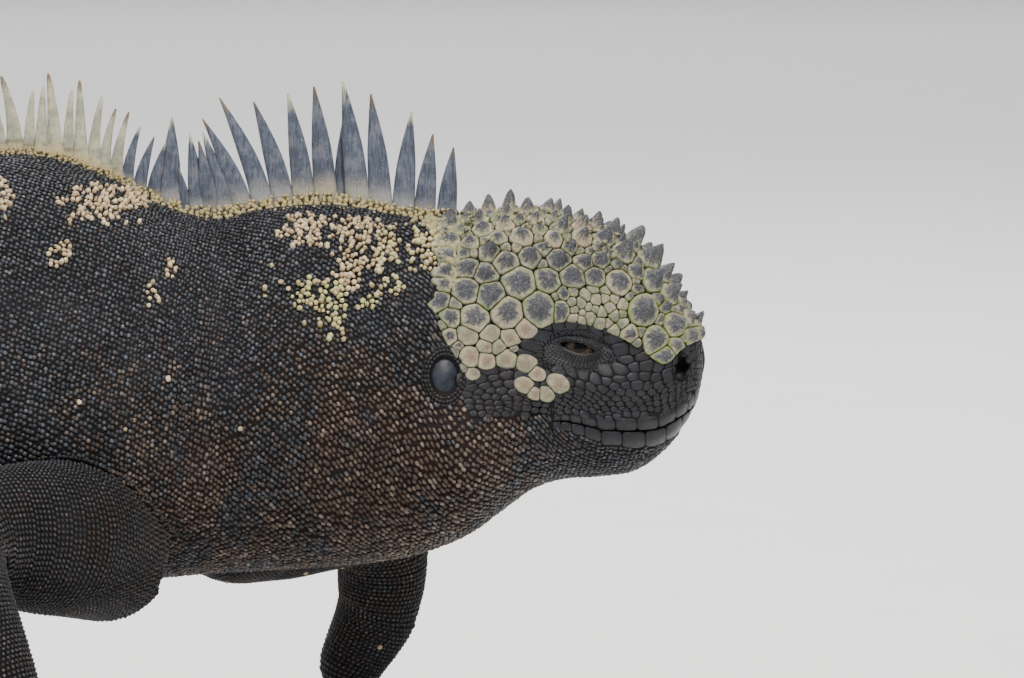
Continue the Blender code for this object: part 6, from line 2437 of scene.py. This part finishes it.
def make_lids():
    """The lids: a smooth rolled surface over each eyeball with rows of small scales round the opening."""
    skin = material("skin", skin_finish)
    finish = material("face_plates", face_finish)
    pebble = read_mesh_shape(6, 0.62, 0.72, 1.0)
    chance = np.random.default_rng(47)
    for side, word in ((RIGHT, "right"), (LEFT, "left")):
        ring = np.repeat(np.linspace(0.0, 1.0, LID_ACROSS) ** 1.15, LID_AROUND)
        turn = np.tile(np.arange(LID_AROUND) / LID_AROUND * TAU, LID_ACROSS)
        front = lid_surface(side, ring, turn)
        back = lid_surface(side, ring, turn) - np.array([0.0, side * 0.5, 0.0])
        points = np.vstack([front, back])
        faces = ring_faces(LID_ACROSS, LID_AROUND)
        if side < 0:
            faces = faces[:, ::-1]
        half = len(front)
        column = np.arange(LID_AROUND)
        onward = (column + 1) % LID_AROUND
        last = (LID_ACROSS - 1) * LID_AROUND
        inner = np.column_stack([column, onward, half + onward, half + column])
        outer = np.column_stack([last + onward, last + column, half + last + column, half + last + onward])
        rims = np.vstack([inner, outer])
        if side > 0:
            rims = rims[:, ::-1]
        faces = np.vstack([faces, faces[:, ::-1] + half, rims[:, ::-1]])
        station = SNOUT_X - points[:, 0]
        share = (np.arctan2(points[:, 1] - SNOUT_Y, points[:, 2] - 108.0) / TAU) % 1.0
        lid = new_piece(f"lids_{word}", points, [faces], skin, body_map(station, share))
        zeros = np.zeros(len(points))
        lay_marks(lid.data, np.column_stack([zeros, zeros, zeros]), np.column_stack([zeros, zeros, zeros]))
        own(lid, "skin")
        centres, normals, heads, sizes, tones = [], [], [], [], []
        for row, level in enumerate((0.1, 0.17, 0.25, 0.34, 0.43, 0.52, 0.61, 0.7, 0.79, 0.88, 0.96)):
            dense = np.linspace(0.0, TAU, 400, endpoint=False)
            line = lid_surface(side, np.full(400, level), dense)
            steps = np.linalg.norm(np.roll(line, -1, 0) - line, axis=1)
            length = steps.sum()
            size = np.interp(level, (0.0, 0.2, 0.6, 1.0), (0.62, 0.85, 1.15, 1.5))
            count = int(length / size)
            run = np.concatenate([[0.0], np.cumsum(steps)])
            stops = (np.arange(count) + 0.5 * (row % 2)) / count * length
            at = np.interp(stops, run, np.append(dense, TAU))
            flat = np.full(count, level)
            place = lid_surface(side, flat, at)
            onward_point = lid_surface(side, flat, at + 0.04) - place
            outward_point = lid_surface(side, flat + 0.02, at) - place
            way = np.cross(onward_point, outward_point)
            way /= np.linalg.norm(way, axis=1, keepdims=True)
            way *= np.sign(way[:, 1:2]) * side
            centres.append(place)
            normals.append(way)
            heads.append(onward_point)
            step = length / count
            gap = np.linalg.norm(outward_point, axis=1) / 0.02 * 0.085
            sizes.append(
                np.column_stack([np.full(count, step * 0.56), np.clip(gap * 0.6, 0.3, 0.95), np.full(count, 0.34 * size + 0.1)])
            )
            tones.append(chance.uniform(0.0, 0.35, count))
        centres, normals, heads, sizes = [np.vstack(a) for a in (centres, normals, heads, sizes)]
        tones = np.concatenate(tones)
        share = (np.arctan2(centres[:, 1] - SNOUT_Y, centres[:, 2] - 108.0) / TAU) % 1.0
        bake = body_map(SNOUT_X - centres[:, 0], share)
        marks = np.zeros((len(centres), 3))
        made = stamp(f"lid_scales_{word}", pebble, centres, normals, heads, sizes, marks, tones, bake, finish, -0.1)
        own(made, "skin")


def drum_finish():
    """The ear's thin, cloudy, slightly glossy membrane."""
    colours = bpy.context.scene.iguana_colours
    finish = Finish("drums", Specular_IOR_Level=0.25)
    cloud = finish.noise(2.0, 3.0)
    grain = finish.noise(0.5, 2.0)
    body = finish.mix(cloud.rise(0.3, 0.7), tuple(colours.drum), tuple(colours.drum_pale))
    normal = finish.bump(cloud, 0.3, 0.4)
    return finish.feed(Base_Color=body, Roughness=grain * 0.15 + 0.4, Normal=normal)


DRUM_HALF_LENGTH = EAR_HALF_LENGTH + 0.6
DRUM_HALF_HEIGHT = EAR_HALF_HEIGHT + 0.7
DRUM_DEPTH = 1.25
DRUM_DOME = 0.6


def make_drums():
    """The ear drums, each a thin domed oval in the skin's pit, and the rows of scales round it."""
    finish = material("drums", drum_finish)
    scales = material("scales", scale_finish)
    pebble = read_mesh_shape(6, 0.62, 0.72, 1.0)
    for side, word in ((RIGHT, "right"), (LEFT, "left")):
        rings, around = 14, 48
        out = np.repeat(np.linspace(1.0, 0.0, rings, endpoint=False), around)
        turn = np.tile(np.arange(around) / around * TAU, rings)
        station = EAR_STATION - DRUM_HALF_LENGTH * out * np.cos(turn)
        height = EAR_HEIGHT + DRUM_HALF_HEIGHT * out * np.sin(turn)
        points, normals = face_chart(side)(np.column_stack([station, height]))
        points = points - normals * (DRUM_DEPTH - DRUM_DOME * (1.0 - out**2))[:, None]
        middle, way = face_chart(side)(np.array([[EAR_STATION, EAR_HEIGHT]]))
        top = middle - way * (DRUM_DEPTH - DRUM_DOME)
        foot = middle - way * (DRUM_DEPTH + 1.0)
        points = np.vstack([points, top, foot])
        last = (rings - 1) * around
        column = np.arange(around)
        onward = (column + 1) % around
        faces = ring_faces(rings, around)
        caps = np.vstack(
            [
                np.column_stack([last + column, last + onward, np.full(around, rings * around)]),
                np.column_stack([onward, column, np.full(around, rings * around + 1)]),
            ]
        )
        if side < 0:
            faces, caps = faces[:, ::-1], caps[:, ::-1]
        drum = new_piece(f"ear_drum_{word}", points, [faces, caps], finish)
        own(drum, "ear_drum", f"ear_{word}")
        places = []
        for row, grow in enumerate((1.16, 1.38, 1.6)):
            a, b = EAR_HALF_LENGTH * grow + 0.4, EAR_HALF_HEIGHT * grow + 0.4
            count = int(math.pi * (a + b) / 1.15)
            turns = (np.arange(count) + 0.5 * (row % 2)) / count * TAU
            places.append(np.column_stack([EAR_STATION - a * np.cos(turns), EAR_HEIGHT + b * np.sin(turns), turns]))
        station, height, turns = np.vstack(places).T
        share = State.fine.share_at(station, height, side)
        points, normals = State.fine.at(station, share)
        heads = np.column_stack([-np.sin(turns), np.zeros(len(turns)), np.cos(turns)])
        chance = np.random.default_rng(53)
        sizes = np.tile((0.72, 0.42, 0.4), (len(points), 1)) * chance.uniform(0.9, 1.1, (len(points), 1))
        marks = np.zeros((len(points), 3))
        marks[:, 1] = 0.15
        tones = chance.uniform(0, 0.35, len(points))
        bake = body_map(station, share)
        made = stamp(f"ear_scales_{word}", pebble, points, normals, heads, sizes, marks, tones, bake, scales, -0.1)
        own(made, "skin")


def claw_finish():
    """Worn dark horn, paler at the root and polished towards the tip."""
    colours = bpy.context.scene.iguana_colours
    finish = Finish("claws", Specular_IOR_Level=0.5)
    streak = finish.noise(0.8, 4.0, 0.6)
    rise, _, _ = finish.stored("form")
    body = finish.mix(streak.rise(0.4, 0.65), tuple(colours.claw), tuple(colours.claw_pale))
    body = finish.mix(rise.rise(0.5, 1.0) * 0.6, body, tuple(colours.claw))
    normal = finish.bump(streak, 0.15, 0.5)
    return finish.feed(Base_Color=body, Roughness=streak * 0.2 + 0.25, Normal=normal)


def make_claws():
    """The claws: curved horns, flattened at the sides, each over the end of its toe."""
    finish = material("claws", claw_finish)
    rings, sides = 16, 14
    for name, (tip, ahead, radius, length) in State.claws.items():
        up = np.array([0.0, 0.0, 1.0])
        drop = tip[2] - CLAW_TIP_HEIGHT
        start = tip - ahead * 1.2
        arc = [start] + [tip + ahead * length * u + up * (length * rise - drop * fall) for u, rise, fall in CLAW_RUN]
        radii = [(0.0, radius * 0.62, radius * 0.76)]
        radii += [(0.1 + 0.9 * u, radius * wide, radius * tall) for u, wide, tall in CLAW_PROFILE]
        tube = Tube(arc, radii, 7, 24)
        share = np.repeat(np.linspace(0.0, 1.0, rings), sides)
        turn = np.tile(np.arange(sides) / sides, rings)
        points, _ = tube.at(share, turn)
        ends = np.vstack([points[:sides].mean(axis=0), points[-sides:].mean(axis=0) + ahead * 0.15])
        near = np.arange(sides)
        far = near + (rings - 1) * sides
        caps = np.concatenate(
            [
                np.column_stack([np.roll(near, -1), near, np.full(sides, len(points))]),
                np.column_stack([far, np.roll(far, -1), np.full(sides, len(points) + 1)]),
            ]
        )
        claw = new_piece(name + "_horn", np.vstack([points, ends]), [ring_faces(rings, sides), caps], finish)
        zeros = np.zeros(len(points) + 2)
        rise = np.append(share, [0.0, 1.0])
        lay_marks(claw.data, np.column_stack([zeros, zeros, zeros]), np.column_stack([rise, zeros, zeros]))
        own(claw, "claw", name)


def floor_finish():
    """A plain pale floor."""
    finish = Finish("floor", Roughness=0.7)
    grain = finish.noise(60.0, 2.0)
    body = finish.mix(grain, (0.72, 0.71, 0.69), (0.78, 0.77, 0.75))
    return finish.feed(Base_Color=body)


FLOOR_REACH = 40.0
FLOOR_LEVEL = -0.0004


def make_stage():
    """The wide pale floor, soft lights and the camera."""
    deselect()
    ends = (-FLOOR_REACH, FLOOR_REACH)
    points = [(x, y, FLOOR_LEVEL) for y in ends for x in ends]
    floor = new_piece("floor", np.array(points) / MM, [np.array([(0, 1, 3, 2)])], floor_finish())
    scene = bpy.context.scene
    world = bpy.data.worlds.new("studio")
    scene.world = world
    world.use_nodes = True
    background = world.node_tree.nodes["Background"]
    background.inputs["Color"].default_value = (0.9, 0.94, 1.0, 1.0)
    background.inputs["Strength"].default_value = 0.42
    middle = Vector((0.42, 0.0, 0.13))
    lamps = (
        ("key", (0.3, -1.0, 1.6), 0.55, 58.0, (1.0, 0.965, 0.91)),
        ("fill", (-1.3, -1.4, 0.8), 1.4, 9.0, (0.9, 0.95, 1.0)),
        ("rim", (-0.3, 1.2, 1.5), 1.2, 22.0, (0.95, 0.98, 1.0)),
        ("behind", (-0.3, 1.6, 2.4), 2.4, 70.0, (1.0, 1.0, 1.0)),
        ("far", (-0.3, 5.6, 4.6), 5.0, 300.0, (1.0, 1.0, 1.0)),
    )
    for name, place, size, power, colour in lamps:
        light = bpy.data.lights.new(name, "AREA")
        light.shape = "DISK"
        light.size = size
        light.energy = power
        light.color = colour
        lamp = bpy.data.objects.new(name, light)
        lamp.location = middle + Vector(place)
        lamp.rotation_mode = "QUATERNION"
        aim = Vector((lamp.location.x, lamp.location.y, 0.0)) if name == "far" else middle
        lamp.rotation_quaternion = (aim - lamp.location).to_track_quat("-Z", "Y")
        lamp.visible_camera = False
        scene.collection.objects.link(lamp)
    camera = bpy.data.cameras.new("camera")
    view = bpy.data.objects.new("camera", camera)
    target = Vector(CAMERA_TARGET)
    back = Vector((0.0, -math.cos(CAMERA_ELEVATION), math.sin(CAMERA_ELEVATION)))
    view.location = (target + back * CAMERA_DISTANCE) * MM
    view.rotation_mode = "QUATERNION"
    view.rotation_quaternion = (-back).to_track_quat("-Z", "Y")
    camera.sensor_width = SENSOR_WIDTH
    camera.lens = SENSOR_WIDTH * CAMERA_DISTANCE / VIEW_WIDTH
    camera.clip_end = 50.0
    scene.collection.objects.link(view)
    scene.camera = view


def colour_setting(name, description, default):
    """A colour that a user may change."""
    return bpy.props.FloatVectorProperty(
        name=name, description=description, subtype="COLOR", size=3, min=0.0, max=1.0, default=default
    )


class IguanaColours(bpy.types.PropertyGroup):
    """The colours of the iguana's finishes."""

    charcoal: colour_setting("Charcoal", "Darkest colour of the skin", (0.004, 0.004, 0.004))
    slate: colour_setting("Slate", "Second colour of the skin", (0.009, 0.009, 0.011))
    rust: colour_setting("Rust", "Brown of the throat and flanks", (0.020, 0.009, 0.006))
    ochre: colour_setting("Ochre", "Lighter brown of the throat", (0.043, 0.026, 0.018))
    # The blue-grey and pale brown scale tops set below are painted highlights on each scale's peak.
    sheen_dark: colour_setting("Sheen dark", "Darkest tops of the scales", (0.009, 0.011, 0.014))
    sheen: colour_setting("Sheen", "Blue-grey tops of the scales", (0.072, 0.079, 0.102))
    tan: colour_setting("Tan", "Pale tops of the brown scales", (0.165, 0.125, 0.096))
    salt: colour_setting("Salt", "Crusts of salt", (0.600, 0.480, 0.310))
    salt_shade: colour_setting("Salt shade", "Darker crusts of salt", (0.330, 0.240, 0.145))
    # Dark brown that each crumb of salt takes towards its foot.
    salt_root: colour_setting("Salt root", "Dirt between the crumbs of salt", (0.090, 0.060, 0.034))
    lichen: colour_setting("Lichen", "Yellow-green crumbs of salt", (0.440, 0.450, 0.190))
    moss: colour_setting("Moss", "Green of the grooves and crusts", (0.240, 0.330, 0.050))
    moss_dark: colour_setting("Dark moss", "Deepest grooves of the crown", (0.034, 0.082, 0.010))
    cream: colour_setting("Cream", "The crown's shields", (0.370, 0.335, 0.205))
    cream_shade: colour_setting("Cream shade", "Darker parts of the shields", (0.165, 0.180, 0.110))
    cream_pink: colour_setting("Cream pink", "Pinkish shields", (0.430, 0.330, 0.230))
    knob: colour_setting("Knob", "Yellow-brown knobs at the crest's foot", (0.450, 0.360, 0.170))
    plate_brown: colour_setting("Plate brown", "Middles of the temple's plates", (0.205, 0.140, 0.098))
    spine_lilac: colour_setting("Spine lilac", "Greyer patches of the spines", (0.165, 0.155, 0.175))
    spine_pale: colour_setting("Spine pale", "Pale roots and flecks of the spines", (0.300, 0.300, 0.300))
    # Dark brown of the crown's grooves and of the notches of the pale spines.
    groove_brown: colour_setting("Dirt", "Dry grooves of the crown", (0.060, 0.045, 0.028))
    horn_slate: colour_setting("Horn slate", "Dark tips of the shields", (0.030, 0.033, 0.046))
    horn_pale: colour_setting("Horn pale", "Pale flecks of the horn", (0.230, 0.235, 0.240))
    horn_brown: colour_setting("Horn brown", "Brown flecks and tips of the horn", (0.120, 0.070, 0.044))
    spine_dark: colour_setting("Spine dark", "Dark streaks of the spines", (0.036, 0.043, 0.062))
    spine_blue: colour_setting("Spine blue", "Slate blue of the spines", (0.092, 0.110, 0.150))
    bone: colour_setting("Bone", "Pale roots and spines", (0.430, 0.410, 0.290))
    bone_shade: colour_setting("Bone shade", "Grey-yellow of the pale spines", (0.260, 0.265, 0.190))
    plate_dark: colour_setting("Plate dark", "Dark plates of the face", (0.004, 0.004, 0.005))
    plate_blue: colour_setting("Plate blue", "Blue-grey plates of the face", (0.010, 0.011, 0.015))
    # A painted highlight on the raised middles of the face's plates.
    plate_painted_sheen: colour_setting("Plate sheen", "Raised middles of the face's plates", (0.014, 0.017, 0.025))
    iris_dark: colour_setting("Iris dark", "Dark streaks of the iris", (0.014, 0.007, 0.004))
    iris: colour_setting("Iris", "Brown of the iris", (0.050, 0.026, 0.013))
    iris_gold: colour_setting("Iris gold", "Gold flecks of the iris", (0.120, 0.066, 0.028))
    drum: colour_setting("Ear drum", "The ear's membrane", (0.007, 0.008, 0.012))
    drum_pale: colour_setting("Ear drum pale", "Cloudy parts of the membrane", (0.020, 0.025, 0.036))
    claw: colour_setting("Claw", "Dark horn of the claws", (0.016, 0.014, 0.013))
    claw_pale: colour_setting("Claw pale", "Worn horn of the claws", (0.090, 0.075, 0.058))


MAKERS = (
    ("skin", "Skin", make_skin),
    ("body_scales", "Body scales", make_body_scales),
    ("tail_scales", "Tail scales", make_tail_scales),
    ("leg_scales", "Leg scales", make_leg_scales),
    ("root_scales", "Leg root scales", make_root_scales),
    ("crown", "Crown shields", make_crown),
    ("crest", "Crest spines", make_crest),
    ("fringe", "Crest fringe", make_fringe),
    ("lips", "Lips", make_lips),
    ("face", "Face plates", make_face),
    ("eyes", "Eyes", make_eyes),
    ("lids", "Eyelids", make_lids),
    ("drums", "Ear drums", make_drums),
    ("claws", "Claws", make_claws),
    ("stage", "Stage", make_stage),
)


def operator_class(key, label, maker):
    """The operator that makes one piece or group of pieces."""

    def execute(self, context):
        maker()
        return {"FINISHED"}

    members = {
        "__doc__": maker.__doc__,
        "bl_idname": f"iguana.{key}",
        "bl_label": label,
        "bl_options": {"REGISTER"},
        "execute": execute,
    }
    return type(f"IGUANA_OT_{key}", (bpy.types.Operator,), members)


OPERATORS = [operator_class(*row) for row in MAKERS]


class IGUANA_PT_panel(bpy.types.Panel):
    """Lists the pieces and the colours in the sidebar."""

    bl_label = "Iguana"
    bl_idname = "IGUANA_PT_panel"
    bl_space_type = "VIEW_3D"
    bl_region_type = "UI"
    bl_category = "Iguana"

    def draw(self, context):
        column = self.layout.column()
        for operator in OPERATORS:
            column.operator(operator.bl_idname)
        for name in IguanaColours.__annotations__:
            column.prop(context.scene.iguana_colours, name)


CLASSES = (IguanaColours, *OPERATORS, IGUANA_PT_panel)


def register():
    for made in CLASSES:
        bpy.utils.register_class(made)
    bpy.types.Scene.iguana_colours = bpy.props.PointerProperty(type=IguanaColours)


def unregister():
    del bpy.types.Scene.iguana_colours
    for made in reversed(CLASSES):
        bpy.utils.unregister_class(made)


def main():
    register()
    for key, _, _ in MAKERS:
        getattr(bpy.ops.iguana, key)()


if __name__ == "__main__":
    main()
